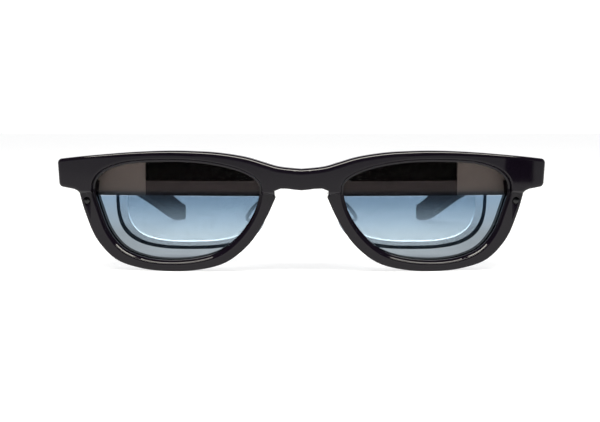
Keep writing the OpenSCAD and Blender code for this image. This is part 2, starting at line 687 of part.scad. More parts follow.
// Speakers that fire down through slots in the underside of each casing
speaker_y0 = along(0.41);
speaker_y1 = speaker_y0 + speaker_l;
speaker_h = 3.8;
speaker_floor = bottom_at(speaker_y0) + case_wall + 0.3;
module speaker(s) {
  color("#3a3a3e") side(s) between(centre_line(-1.25), centre_line(1.25), speaker_y0, speaker_y1)
    box([0, big], [0, big], [speaker_floor, speaker_floor + speaker_h]);
}
grille_n = 5;
slot_l = 1;           // length of each grille slot along the temple
function slot_y(k) = speaker_y0 + speaker_l * (k + 0.7) / (grille_n + 0.4);
module grille_slots() {
  for (k = [0 : grille_n - 1])
    between(centre_line(-0.9), centre_line(0.9), slot_y(k) - slot_l / 2, slot_y(k) + slot_l / 2)
      under_layer(-1, case_wall + 1);
}
module speaker_grille(s) {
  color("#101012") side(s)
    between(centre_line(-1.2), centre_line(1.2), speaker_y0 + 0.4, speaker_y1 - 0.4)
      under_layer(case_wall, case_wall + 0.25);
}

// Boards: both follow the casing's side view, and stand on posts from its outer wall
board_y0 = cover_y0 + 1.2;
board_y1 = along(0.36);
switch_e = case_wall + 1;
board_e = switch_e + 0.75;
board_in = 0.1;       // inner face of a board, outwards from the temple's centreline at the hinge
post_r = 1.1;
chip_t = 1.2;
module board(chips) {
  intersection() {
    box([temple_x + board_in, temple_x + board_in + board_t], [board_y0, board_y1], [0, big]);
    profile(board_e);
  }
  for (c = chips) intersection() {
    box([temple_x + board_in - chip_t, temple_x + board_in], [board_y0 + c[0], board_y0 + c[1]], [0, big]);
    profile(board_e + 0.8);
  }
}
module board_posts() {
  for (y = [board_y0 + 4, board_y1 - 4]) translate([temple_x + board_in + board_t + slack, y, core_z(y)])
    rotate([0, 90, 0]) cylinder(r = post_r, h = temple_w, $fn = 32);
}
module main_board() { color("#1f4a2b") side(RIGHT) board([[3, 9], [12, 15], [18, 25]]); }
module port_board() { color("#1f4a2b") side(LEFT) board([[4, 11], [16, 20]]); }

// Keys: a rocker and a button in the underside of the right temple, a power button in its top
key_x = temple_x + board_in + board_t / 2;
key_stand = 0.5;      // how far a key stands out of the casing
flange_w = 0.45;      // a flange inside the casing keeps a button in
mode_y = board_y0 + 4;
rocker_y = mode_y + mode_l / 2 + 3 + rocker_l / 2;
power_y = board_y0 + 9;
contact_y = [rocker_y - rocker_l * 0.36, rocker_y + rocker_l * 0.36];
module key_slot(y, l, e) {
  box([key_x - button_w / 2 - e, key_x + button_w / 2 + e], [y - l / 2 - e, y + l / 2 + e], [0, big]);
}
module key_holes() {
  intersection() {
    union() {
      key_slot(rocker_y, rocker_l, clear);
      key_slot(mode_y, mode_l, clear);
    }
    under_layer(-1, case_wall + slack);
  }
  intersection() {
    key_slot(power_y, power_l, clear);
    top_layer(-1, case_wall + slack);
  }
  rocker_axle(slack);
}
stem_e = switch_e - button_travel - 0.1;
flange_e = case_wall + slack;
flange_t = 0.35;
module mode_button() {
  color("#17161a") side(RIGHT) {
    intersection() {
      key_slot(mode_y, mode_l, 0);
      under_layer(-key_stand, stem_e);
    }
    intersection() {
      key_slot(mode_y, mode_l, flange_w);
      under_layer(flange_e, flange_e + flange_t);
    }
  }
}
module power_button() {
  color("#17161a") side(RIGHT) {
    intersection() {
      key_slot(power_y, power_l, 0);
      top_layer(-key_stand, stem_e);
    }
    intersection() {
      key_slot(power_y, power_l, flange_w);
      top_layer(flange_e, flange_e + flange_t);
    }
  }
}
module rocker_axle(e) {
  translate([key_x - button_w / 2 - 0.7, rocker_y, bottom_at(rocker_y) + case_wall / 2]) rotate([0, 90, 0])
    cylinder(r = axle_r + e, h = button_w + 1.4, $fn = 24);
}
axle_r = 0.25;
module rocker_pin() { color("#c6c8cc") side(RIGHT) rocker_axle(0); }
module brightness_rocker() {
  color("#17161a") side(RIGHT)
    difference() {
      union() {
        intersection() {
          key_slot(rocker_y, rocker_l, 0);
          under_layer(-key_stand, case_wall - 0.15);
        }
        for (y = contact_y) intersection() {
          key_slot(y, 1.2, -0.4);
          under_layer(case_wall - 0.4, switch_e - 0.3);
        }
      }
      rocker_axle(slack);
    }
}
module switch_room(y) { box([key_x - 0.9, key_x + 0.9], [y - 1.1, y + 1.1], [0, big]); }
module key_switches() {
  color("#b0b2b6") side(RIGHT) {
    for (y = concat(contact_y, [mode_y])) intersection() {
      switch_room(y);
      under_layer(switch_e, board_e);
    }
    intersection() {
      switch_room(power_y);
      top_layer(switch_e, board_e);
    }
  }
}

// Port: it opens down and a little forwards through the underside of the left ear tip
port_y = along(0.815);
port_slope = 22;      // how far the port leans from straight down
port_wall = 0.3;
tongue_t = 0.7;
port_toe = atan((centre_x(port_y - 1) - centre_x(port_y + 1)) / 2);
port_sink = 0.2;      // how far the port's own origin lies below the underside
module port_frame() {
  translate([centre_x(port_y), port_y, bottom_at(port_y) - port_sink]) rotate([0, 0, port_toe])
    rotate([-port_slope, 0, 0]) children();
}
module port_prism(rx, ry, z0, z1) {
  r = min(rx, ry);
  translate([0, 0, z0]) linear_extrude(z1 - z0) union() {
    square([2 * r, 2 * (ry - r)], center = true);
    for (k = [-1, 1]) translate([0, k * (ry - r)]) circle(r = r, $fn = 32);
  }
}
module port_shell() {
  color("#b9bbbf") side(LEFT) port_frame() difference() {
    port_prism(port_h / 2 + port_wall, port_w / 2 + port_wall, 0.3, port_d);
    port_prism(port_h / 2, port_w / 2, -1, port_d - 0.6);
  }
}
module port_tongue() {
  color("#1b1b1e") side(LEFT) port_frame() union() {
    translate([-tongue_t / 2, -port_w * 0.4, 1]) cube([tongue_t, port_w * 0.8, port_d - 1.6]);
    port_prism(port_h / 2 - slack, port_w / 2 - slack, port_d - 1.7, port_d - 0.6);
  }
}
cable_r = 0.5;
cable_rise = 2.4;     // how far the cable runs above the ear tip's core
function cable_points() = concat(
  [for (y = [board_y1 + 0.2, speaker_y0 + 1, speaker_y1 + 1, core_y[0], case_y1 + 10, core_y[2]])
    [centre_x(y), y, core_z(y) + cable_rise * (y > board_y1 + 1 ? 1 : 0.9)]],
  [port_point(-2.5, port_d + cable_r + 0.15)]);
function port_point(v, w) = let (d = v * cos(port_slope) + w * sin(port_slope))
  [centre_x(port_y) - d * sin(port_toe), port_y + d * cos(port_toe),
  bottom_at(port_y) - port_sink - v * sin(port_slope) + w * cos(port_slope)];
module cable_run(e) {
  p = cable_points();
  for (i = [0 : len(p) - 2]) rod(p[i], p[i + 1], cable_r + e);
  for (i = [1 : len(p) - 2]) bend(p[i], cable_r + e);
}
module port_cable() { color("#1b1b1e") side(LEFT) cable_run(0); }

// Nose piece: a sprung wire bracket that plugs into the back of the bridge, with a soft pad on each arm
socket_z = bridge_bottom + 1.35;
pad_y = bridge_d + 10;
pad_z = 11.5;
module bracket_socket() {
  box([-3 - slack, 3 + slack], [bridge_d - 2.6, bridge_d + 2], [bridge_bottom - 1, socket_z + slack]);
}
module in_pad_frame() { translate([pad_gap / 2, pad_y, pad_z]) rotate([0, -pad_splay, 0]) children(); }
function pad_point(u) = [pad_gap / 2 + u * cos(pad_splay), pad_y, pad_z + u * sin(pad_splay)];
arm_z = bridge_bottom - 1;
function arm_points() = [[2.2, bridge_d + 0.2, socket_z - 0.75], [8.8, bridge_d + 6.5, arm_z + 0.8],
  [9.4, bridge_d + 8.6, arm_z - 1.75], [11.6, bridge_d + 9.5, arm_z - 3.6],
  [15.2, bridge_d + 10.5, arm_z - 6], pad_point(pad_t + 2.6), pad_point(pad_t + 0.4)];
module nose_bracket() {
  p = arm_points();
  color("#a7a9ad") {
    box([-3, 3], [bridge_d - 2.5, bridge_d + 1.2], [bridge_bottom - 0.1, socket_z]);
    both() {
      for (i = [0 : len(p) - 2]) rod(p[i], p[i + 1], wire_r);
      for (i = [1 : len(p) - 2]) bend(p[i], wire_r);
      in_pad_frame() translate([pad_t + slack, 0, 0]) rotate([0, 90, 0]) cylinder(r = 2.4, h = 0.6, $fn = 32);
    }
  }
}
module nose_pad(s) {
  r = pad_d / 2;
  color("#3b3b40") side(s) in_pad_frame() rotate([0, 90, 0]) linear_extrude(pad_t) union() {
    square([pad_h - pad_d, pad_d], center = true);
    for (k = [-1, 1]) translate([k * (pad_h - pad_d) / 2, 0]) circle(r = r, $fn = 40);
  }
}

at_origin() front_frame();
at_origin() rear_frame();
at_origin() front_lens(RIGHT);  // right_front_lens
at_origin() front_lens(LEFT);  // left_front_lens
at_origin() curved_mirror(RIGHT);  // right_curved_mirror
at_origin() curved_mirror(LEFT);  // left_curved_mirror
at_origin() beam_splitter(RIGHT);  // right_beam_splitter
at_origin() beam_splitter(LEFT);  // left_beam_splitter
at_origin() engine_housing(RIGHT);  // right_engine_housing
at_origin() engine_housing(LEFT);  // left_engine_housing
at_origin() display_panel(RIGHT);  // right_display_panel
at_origin() display_panel(LEFT);  // left_display_panel
at_origin() display_board(RIGHT);  // right_display_board
at_origin() display_board(LEFT);  // left_display_board
at_origin() projection_lens(RIGHT);  // right_projection_lens
at_origin() projection_lens(LEFT);  // left_projection_lens
at_origin() alignment_beam();
at_origin() bridge_board();
at_origin() proximity_window();
at_origin() tracking_camera(RIGHT);  // right_tracking_camera
at_origin() tracking_camera(LEFT);  // left_tracking_camera
at_origin() camera_window(RIGHT);  // right_camera_window
at_origin() camera_window(LEFT);  // left_camera_window
at_origin() front_leaf(RIGHT);  // right_front_leaf
at_origin() front_leaf(LEFT);  // left_front_leaf
at_origin() hinge_pin(RIGHT);  // right_hinge_pin
at_origin() hinge_pin(LEFT);  // left_hinge_pin
at_origin() front_leaf_screws();
at_origin() nose_bracket();
at_origin() nose_pad(RIGHT);  // right_nose_pad
at_origin() nose_pad(LEFT);  // left_nose_pad
at_origin() temple_casing(RIGHT);  // right_temple_casing
at_origin() temple_casing(LEFT);  // left_temple_casing
at_origin() temple_cover(RIGHT);  // right_temple_cover
at_origin() temple_cover(LEFT);  // left_temple_cover
at_origin() temple_leaf(RIGHT);  // right_temple_leaf
at_origin() temple_leaf(LEFT);  // left_temple_leaf
at_origin() temple_screws(RIGHT);  // right_temple_screws
at_origin() temple_screws(LEFT);  // left_temple_screws
at_origin() ear_tip(RIGHT);  // right_ear_tip
at_origin() ear_tip(LEFT);  // left_ear_tip
at_origin() tip_core(RIGHT);  // right_tip_core
at_origin() tip_core(LEFT);  // left_tip_core
at_origin() speaker(RIGHT);  // right_speaker
at_origin() speaker(LEFT);  // left_speaker
at_origin() speaker_grille(RIGHT);  // right_speaker_grille
at_origin() speaker_grille(LEFT);  // left_speaker_grille
at_origin() main_board();
at_origin() key_switches();
at_origin() brightness_rocker();
at_origin() rocker_pin();
at_origin() mode_button();
at_origin() power_button();
at_origin() port_board();
at_origin() port_shell();
at_origin() port_tongue();
at_origin() port_cable();
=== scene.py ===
"""Extended reality glasses in a glossy black frame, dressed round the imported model.

All shapes are worked out in millimetres, with y measured back from the face of the bridge, and are brought to
metres in the model's own frame when a piece is finished.
"""

import logging
import math
from dataclasses import dataclass
from enum import Enum
from functools import cached_property
from typing import Iterable, Sequence

import bmesh
import bpy
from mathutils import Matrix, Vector


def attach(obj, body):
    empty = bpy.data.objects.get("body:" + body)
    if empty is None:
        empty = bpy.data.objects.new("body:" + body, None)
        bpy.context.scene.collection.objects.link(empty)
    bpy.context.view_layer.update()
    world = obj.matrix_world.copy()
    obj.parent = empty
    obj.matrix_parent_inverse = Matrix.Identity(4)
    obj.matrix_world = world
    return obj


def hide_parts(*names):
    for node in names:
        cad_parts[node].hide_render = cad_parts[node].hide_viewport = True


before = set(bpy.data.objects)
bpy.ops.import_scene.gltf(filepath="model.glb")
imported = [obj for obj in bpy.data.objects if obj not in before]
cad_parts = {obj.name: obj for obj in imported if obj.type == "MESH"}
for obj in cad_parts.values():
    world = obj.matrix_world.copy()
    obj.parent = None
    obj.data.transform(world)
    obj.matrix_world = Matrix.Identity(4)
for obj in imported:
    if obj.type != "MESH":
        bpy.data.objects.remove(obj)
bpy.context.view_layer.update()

LOG = logging.getLogger("glasses")
MM = 0.001
HALF_DEPTH = 76.5  # the model's own frame has its middle this far behind the face of the bridge
FLAT = 0.12  # a narrow flat ring beside a rounded edge keeps the shading of the broad face even
BROKEN_ABOVE = math.radians(40)  # edges sharper than this are broken
NOISE_RANGE = (0.3, 0.7)  # nearly all of a noise texture lies in it
Point = tuple[float, float]
BMesh = bmesh.types.BMesh
Vert = bmesh.types.BMVert
Face = bmesh.types.BMFace
Material = bpy.types.Material
Piece = bpy.types.Object
NodeTree = bpy.types.NodeTree
Socket = bpy.types.NodeSocket


class Side(Enum):
    """A side of the wearer, with the sign of its x."""

    RIGHT = -1
    LEFT = 1

    @property
    def word(self) -> str:
        """The word that piece names start with."""
        return self.name.lower()


# Curves


def catmull(a: Point, b: Point, c: Point, d: Point, t: float) -> Point:
    """A point between b and c on the smooth curve through a, b, c and d.

    Args:
        a: The control point before b.
        b: The point at t = 0.
        c: The point at t = 1.
        d: The control point after c.
        t: The share of the way from b to c.

    Returns:
        The point on the curve.
    """
    return tuple(
        0.5 * (2 * q + (r - p) * t + (2 * p - 5 * q + 4 * r - s) * t * t + (3 * q - p - 3 * r + s) * t**3)
        for p, q, r, s in zip(a, b, c, d)
    )


def open_curve(points: Sequence[Point], n: int = 5) -> list[Point]:
    """A smooth open curve through the points.

    Args:
        points: The control points.
        n: Straight pieces between two control points.

    Returns:
        The points of the curve, the last control point included.
    """
    m = len(points)
    out = [
        catmull(points[max(i - 1, 0)], points[i], points[i + 1], points[min(i + 2, m - 1)], k / n)
        for i in range(m - 1)
        for k in range(n)
    ]
    return out + [tuple(points[-1])]


def closed_curve(points: Sequence[Point], n: int = 5) -> list[Point]:
    """A smooth closed curve through the points.

    Args:
        points: The control points.
        n: Straight pieces between two control points.

    Returns:
        The points of the curve.
    """
    m = len(points)
    return [
        catmull(points[i - 1], points[i], points[(i + 1) % m], points[(i + 2) % m], k / n)
        for i in range(m)
        for k in range(n)
    ]


def arc(centre: Point, r: float, start: float, end: float, n: int = 5) -> list[Point]:
    """The n + 1 points on an arc of radius r, from one angle to another in degrees."""
    angles = [math.radians(start + (end - start) * k / n) for k in range(n + 1)]
    return [(centre[0] + r * math.cos(a), centre[1] + r * math.sin(a)) for a in angles]


def lookup(x: float, table: Sequence[Point]) -> float:
    """The straight-line value of a table at x.

    Args:
        x: The place to read.
        table: Pairs of place and value, in order of place.

    Returns:
        The value at x, held flat past the ends.
    """
    if x <= table[0][0]:
        return table[0][1]
    for (x0, y0), (x1, y1) in zip(table, table[1:]):
        if x <= x1:
            return y0 + (y1 - y0) * (x - x0) / (x1 - x0)
    return table[-1][1]


def smooth_step(low: float, high: float, x: float) -> float:
    """0 below low, 1 above high, with a smooth change between them."""
    t = min(1.0, max(0.0, (x - low) / (high - low)))
    return t * t * (3 - 2 * t)


def drawn_in(loop: Sequence[Point], amounts: Sequence[float] | float) -> list[Point]:
    """A closed loop that runs anticlockwise, moved inwards along its corners' bisectors.

    Args:
        loop: The loop's points.
        amounts: How far each point goes in, or one number for all.

    Returns:
        The moved points, as many as there were.
    """
    steepest = 1.6
    out = []
    n = len(loop)
    for i, p in enumerate(loop):
        a, b = Vector(loop[i - 1]), Vector(loop[(i + 1) % n])
        q = Vector(p)
        u, v = (q - a).normalized(), (b - q).normalized()
        across = Vector((-u.y - v.y, u.x + v.x))
        across = across.normalized() if across.length > 1e-6 else Vector((-u.y, u.x))
        lean = max(1 / steepest, across.dot(Vector((-u.y, u.x))))
        e = amounts if isinstance(amounts, (int, float)) else amounts[i]
        out.append(tuple(q + across * (e / lean)))
    return out


# Mesh work


def ring_edges(bm: BMesh, ring: Sequence[Vert]) -> list[bmesh.types.BMEdge]:
    """The edges that join a closed ring of vertices."""
    return [bm.edges.get((a, b)) for a, b in zip(ring, list(ring[1:]) + [ring[0]])]


def start_ring(bm: BMesh, points: Iterable[Sequence[float]]) -> list[Vert]:
    """A closed ring of new vertices with the edges between them.

    Args:
        bm: The mesh that it goes into.
        points: Its points, in order.

    Returns:
        The vertices, in the same order.
    """
    ring = [bm.verts.new(p) for p in points]
    for a, b in zip(ring, ring[1:] + ring[:1]):
        bm.edges.new((a, b))
    return ring


def next_ring(bm: BMesh, ring: Sequence[Vert], points: Iterable[Sequence[float]]) -> list[Vert]:
    """Extrudes a closed ring of edges once and places the new ring.

    Args:
        bm: The mesh.
        ring: The ring to extrude.
        points: Where the new ring's vertices go, in the same order.

    Returns:
        The new ring.
    """
    made = bmesh.ops.extrude_edge_only(bm, edges=ring_edges(bm, ring))["geom"]
    fresh = {tuple(round(c, 5) for c in g.co): g for g in made if isinstance(g, Vert)}
    out = [fresh[tuple(round(c, 5) for c in v.co)] for v in ring]
    for v, p in zip(out, points):
        v.co = p
    return out


def fill_between(bm: BMesh, rings: Sequence[Sequence[Vert]], depth: Sequence[float]) -> None:
    """Fills the flat region that closed rings bound, its holes left open, with few large faces.

    Args:
        bm: The mesh.
        rings: The outer ring, then the holes.
        depth: The direction that the faces look to.
    """
    edges = [e for ring in rings for e in ring_edges(bm, ring)]
    made = bmesh.ops.triangle_fill(bm, edges=edges, use_beauty=True, use_dissolve=False, normal=depth)["geom"]
    border = set(edges)
    # A dict keeps the edges in order, so that the same faces come out in each run
    inner = dict.fromkeys(e for g in made if isinstance(g, Face) for e in g.edges if e not in border)
    bmesh.ops.dissolve_limit(bm, angle_limit=math.radians(0.5), verts=[], edges=list(inner))


def cap(bm: BMesh, *rings: Sequence[Vert]) -> None:
    """Closes each ring with one face."""
    for ring in rings:
        bmesh.ops.edgeloop_fill(bm, edges=ring_edges(bm, ring))


def join_rings(bm: BMesh, loops: Sequence[Sequence[Sequence[float]]]) -> tuple[list[Vert], list[Vert]]:
    """Joins closed loops of points in order, both ends left open.

    Args:
        bm: The mesh.
        loops: The points of each ring, as many in each.

    Returns:
        The first ring and the last one.
    """
    first = ring = start_ring(bm, loops[0])
    for loop in loops[1:]:
        ring = next_ring(bm, ring, loop)
    return first, ring


def plate(bm: BMesh, outline: Sequence[Point], section: Sequence[Point]) -> None:
    """Adds a solid plate that is seen from the front, with worked edges.

    Args:
        bm: The mesh that it goes into.
        outline: Its outline as x and z, anticlockwise.
        section: Pairs of inset and depth from the near face round the edge to the far face.
    """
    loops = [[(x, y, z) for x, z in drawn_in(outline, e)] for e, y in section]
    first, last = join_rings(bm, loops)
    fill_between(bm, [first], (0, -1, 0))
    fill_between(bm, [last], (0, 1, 0))


def slice_up(bm: BMesh, normal: Sequence[float], places: Iterable[float]) -> None:
    """Cuts the whole mesh along parallel planes, with nothing taken away.

    Args:
        bm: The mesh.
        normal: The planes' common normal, of length 1.
        places: How far along the normal each plane lies.
    """
    for place in places:
        everything = bm.verts[:] + bm.edges[:] + bm.faces[:]
        bmesh.ops.bisect_plane(bm, geom=everything, dist=1e-4, plane_co=Vector(normal) * place, plane_no=normal)


def spaced(low: float, high: float, step: float) -> list[float]:
    """Evenly spaced numbers from low to high, about a step apart."""
    n = max(1, round((high - low) / step))
    return [low + (high - low) * k / n for k in range(n + 1)]


def mirrored(bm: BMesh) -> None:
    """Turns a mesh over to the other side of the face, with its faces still looking out."""
    bmesh.ops.scale(bm, vec=(-1, 1, 1), verts=bm.verts)
    bmesh.ops.reverse_faces(bm, faces=bm.faces)


def in_scene(name: str, data: bpy.types.ID) -> Piece:
    """A new object in the scene, at the origin.

    Args:
        name: Its name.
        data: Its mesh, light or camera.

    Returns:
        The object.
    """
    obj = bpy.data.objects.new(name, data)
    bpy.context.scene.collection.objects.link(obj)
    return obj


def mesh_object(bm: BMesh, name: str, materials: Sequence[Material]) -> Piece:
    """Makes a mesh an object in the scene.

    Args:
        bm: The mesh. It is freed.
        name: The object's name.
        materials: Its materials, by the index that its faces hold.

    Returns:
        The object.
    """
    mesh = bpy.data.meshes.new(name)
    bm.to_mesh(mesh)
    bm.free()
    for m in materials:
        mesh.materials.append(m)
    return in_scene(name, mesh)


def finish_piece(
    bm: BMesh,
    name: str,
    materials: Sequence[Material],
    stands_for: Sequence[str],
    slot: str,
    body: str = "front",
    flat_above: float = 32.0,
) -> Piece:
    """Makes a mesh a finished piece of the object, in metres, that rides on a body.

    Args:
        bm: The mesh, in millimetres. It is freed.
        name: The piece's name.
        materials: Its materials, by the index that its faces hold.
        stands_for: The CAD nodes that it takes the place of.
        slot: The name of the record's material slot for the piece; not used.
        body: The body that it rides on.
        flat_above: Edges sharper than this many degrees stay sharp.

    Returns:
        The object.
    """
    bmesh.ops.remove_doubles(bm, verts=bm.verts, dist=1e-4)
    bmesh.ops.recalc_face_normals(bm, faces=bm.faces)
    bmesh.ops.translate(bm, vec=(0, -HALF_DEPTH, 0), verts=bm.verts)
    bmesh.ops.scale(bm, vec=(MM, MM, MM), verts=bm.verts)
    for f in bm.faces:
        f.smooth = True
    for e in bm.edges:
        e.smooth = len(e.link_faces) != 2 or e.calc_face_angle(0) < math.radians(flat_above)
    obj = mesh_object(bm, name, materials)
    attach(obj, body)
    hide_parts(*stands_for)
    LOG.info("%s: %d faces, on %s", name, len(obj.data.polygons), body)
    return obj


def finish_side(
    bm: BMesh, side: Side, part: str, materials: Sequence[Material], nodes: Sequence[str], **settings: str | float
) -> Piece:
    """Finishes a mesh that was made for the left side, turned over if it is for the right.

    Args:
        bm: The mesh, in millimetres. It is freed.
        side: The side.
        part: The piece's name without its side.
        materials: Its materials, by the index that its faces hold.
        nodes: The CAD nodes that it takes the place of, without their side.
        settings: What else finish_piece takes.

    Returns:
        The object.
    """
    if side is Side.RIGHT:
        mirrored(bm)
    stands_for = [f"{side.word}_{node}" for node in nodes]
    return finish_piece(bm, f"{side.word}_{part}", materials, stands_for=stands_for, **settings)


# Materials


def linear(code: str) -> tuple[float, float, float, float]:
    """An sRGB colour of six hex digits after a #, as linear red, green, blue and an alpha of 1."""
    parts = [int(code[i : i + 2], 16) / 255 for i in (1, 3, 5)]
    return (*(c / 12.92 if c <= 0.04045 else ((c + 0.055) / 1.055) ** 2.4 for c in parts), 1.0)


def add(tree: NodeTree, kind: str, inputs: dict | None = None, **settings: object) -> bpy.types.Node:
    """Adds one node to a tree.

    Args:
        tree: The node tree.
        kind: The node's type.
        inputs: Values or other nodes' outputs for its inputs, by name or index.
        settings: The node's own properties.

    Returns:
        The node.
    """
    node = tree.nodes.new(kind)
    for key, value in settings.items():
        setattr(node, key, value)
    for key, value in (inputs or {}).items():
        if isinstance(value, Socket):
            tree.links.new(value, node.inputs[key])
        else:
            node.inputs[key].default_value = value
    return node


def ranged(tree: NodeTree, value: Socket, source: Point, target: Point, smooth: bool = False) -> Socket:
    """Maps a value from one range to another, held flat past the ends.

    Args:
        tree: The node tree.
        value: The output that holds the value.
        source: The range that it comes from.
        target: What the ends of that range become.
        smooth: Whether the change eases in and out.

    Returns:
        The new value's output.
    """
    inputs = {"Value": value, "From Min": source[0], "From Max": source[1], "To Min": target[0], "To Max": target[1]}
    return add(tree, "ShaderNodeMapRange", inputs, interpolation_type="SMOOTHSTEP" if smooth else "LINEAR").outputs[0]


def blank(name: str) -> tuple[Material, NodeTree]:
    """A new material with an empty node tree.

    Args:
        name: The material's name.

    Returns:
        The material and its tree.
    """
    material = bpy.data.materials.new(name)
    material.use_nodes = True
    material.node_tree.nodes.clear()
    return material, material.node_tree


class Grain(Enum):
    """How a surface was made, for the pattern of its grain."""

    MOULDED = (1, 1, 1)  # the same in every direction
    BRUSHED_UP = (1, 1, 0.04)  # drawn out along z
    DRAWN_BACK = (1, 0.04, 1)  # drawn out along y


@dataclass(frozen=True)
class Finish:
    """A surface's finish: what it is made of, and what its grain does to colour, roughness and relief."""

    name: str
    colour: str
    second: str
    roughness: float
    rougher: float
    grain_mm: float
    relief_mm: float
    grain: Grain = Grain.MOULDED
    patch_mm: float = 9.0
    metallic: float = 0.0
    ior: float = 1.5
    coat: float = 0.0
    transmission: float = 0.0
    specular: float = 0.5
    emission: str = ""
    glow: float = 0.0

    def build(self) -> Material:
        """The material: a coarse noise varies its colour, and a fine one its roughness and its relief.

        Returns:
            The material.
        """
        material, tree = blank(self.name)
        where = add(tree, "ShaderNodeTexCoord").outputs["Object"]
        drawn = add(tree, "ShaderNodeMapping", {"Vector": where, "Scale": self.grain.value})
        patch = add(tree, "ShaderNodeTexNoise", {"Vector": where, "Scale": 1 / (self.patch_mm * MM), "Detail": 3.0})
        grain = {"Vector": drawn.outputs[0], "Scale": 1 / (self.grain_mm * MM), "Detail": 4.0, "Roughness": 0.6}
        fine = add(tree, "ShaderNodeTexNoise", grain)
        colours = {0: patch.outputs[0], 6: linear(self.colour), 7: linear(self.second)}
        blend = add(tree, "ShaderNodeMix", colours, data_type="RGBA")
        rough = ranged(tree, fine.outputs[0], NOISE_RANGE, (self.roughness, self.rougher))
        relief = {"Height": fine.outputs[0], "Strength": 1.0, "Distance": self.relief_mm * MM}
        bump = add(tree, "ShaderNodeBump", relief)
        shader = add(
            tree,
            "ShaderNodeBsdfPrincipled",
            {
                "Base Color": blend.outputs[2],
                "Roughness": rough,
                "Normal": bump.outputs[0],
                "Metallic": self.metallic,
                "IOR": self.ior,
                "Specular IOR Level": self.specular,
                "Transmission Weight": self.transmission,
                "Coat Weight": self.coat,
            },
        )
        if self.glow:
            shader.inputs["Emission Color"].default_value = linear(self.emission)
            shader.inputs["Emission Strength"].default_value = self.glow
        add(tree, "ShaderNodeOutputMaterial", {"Surface": shader.outputs[0]})
        return material


# Sizes of the front, in millimetres

LENS_SHAPE = (
    (0.501, 0.70), (0.482, 0.823), (0.41, 0.919), (0.286, 0.979), (0.106, 1.0), (-0.097, 0.995), (-0.265, 0.957),
    (-0.397, 0.893), (-0.48, 0.804), (-0.499, 0.686), (-0.464, 0.478), (-0.379, 0.262), (-0.261, 0.099),
    (-0.116, 0.022), (0.054, 0.0), (0.203, 0.029), (0.329, 0.118), (0.418, 0.293), (0.472, 0.523),
)  # fmt: skip
FIRST_NOSE, LOWEST = 9, 14
NOSE_SHARE = (1, 1, 0.95, 0.72, 0.25, 0)
SIDE_SHARE = (0, 0.12, 0.55, 0.85, 1, 1)
BROW_RISE = ((0, 0), (0.17, 0.12), (0.296, 0.365), (0.42, 0.626), (0.546, 0.794), (0.674, 0.906), (0.8, 0.963), (1, 1))
BROW_FALL = ((0.205, 0.06), (0.412, 0.22), (0.624, 0.46), (0.838, 0.74), (1, 1))
MIRROR_SHAPE = ((1, 0.9), (0.985, 0.65), (0.935, 0.42), (0.82, 0.22), (0.62, 0.08), (0.33, 0.012), (0, 0))


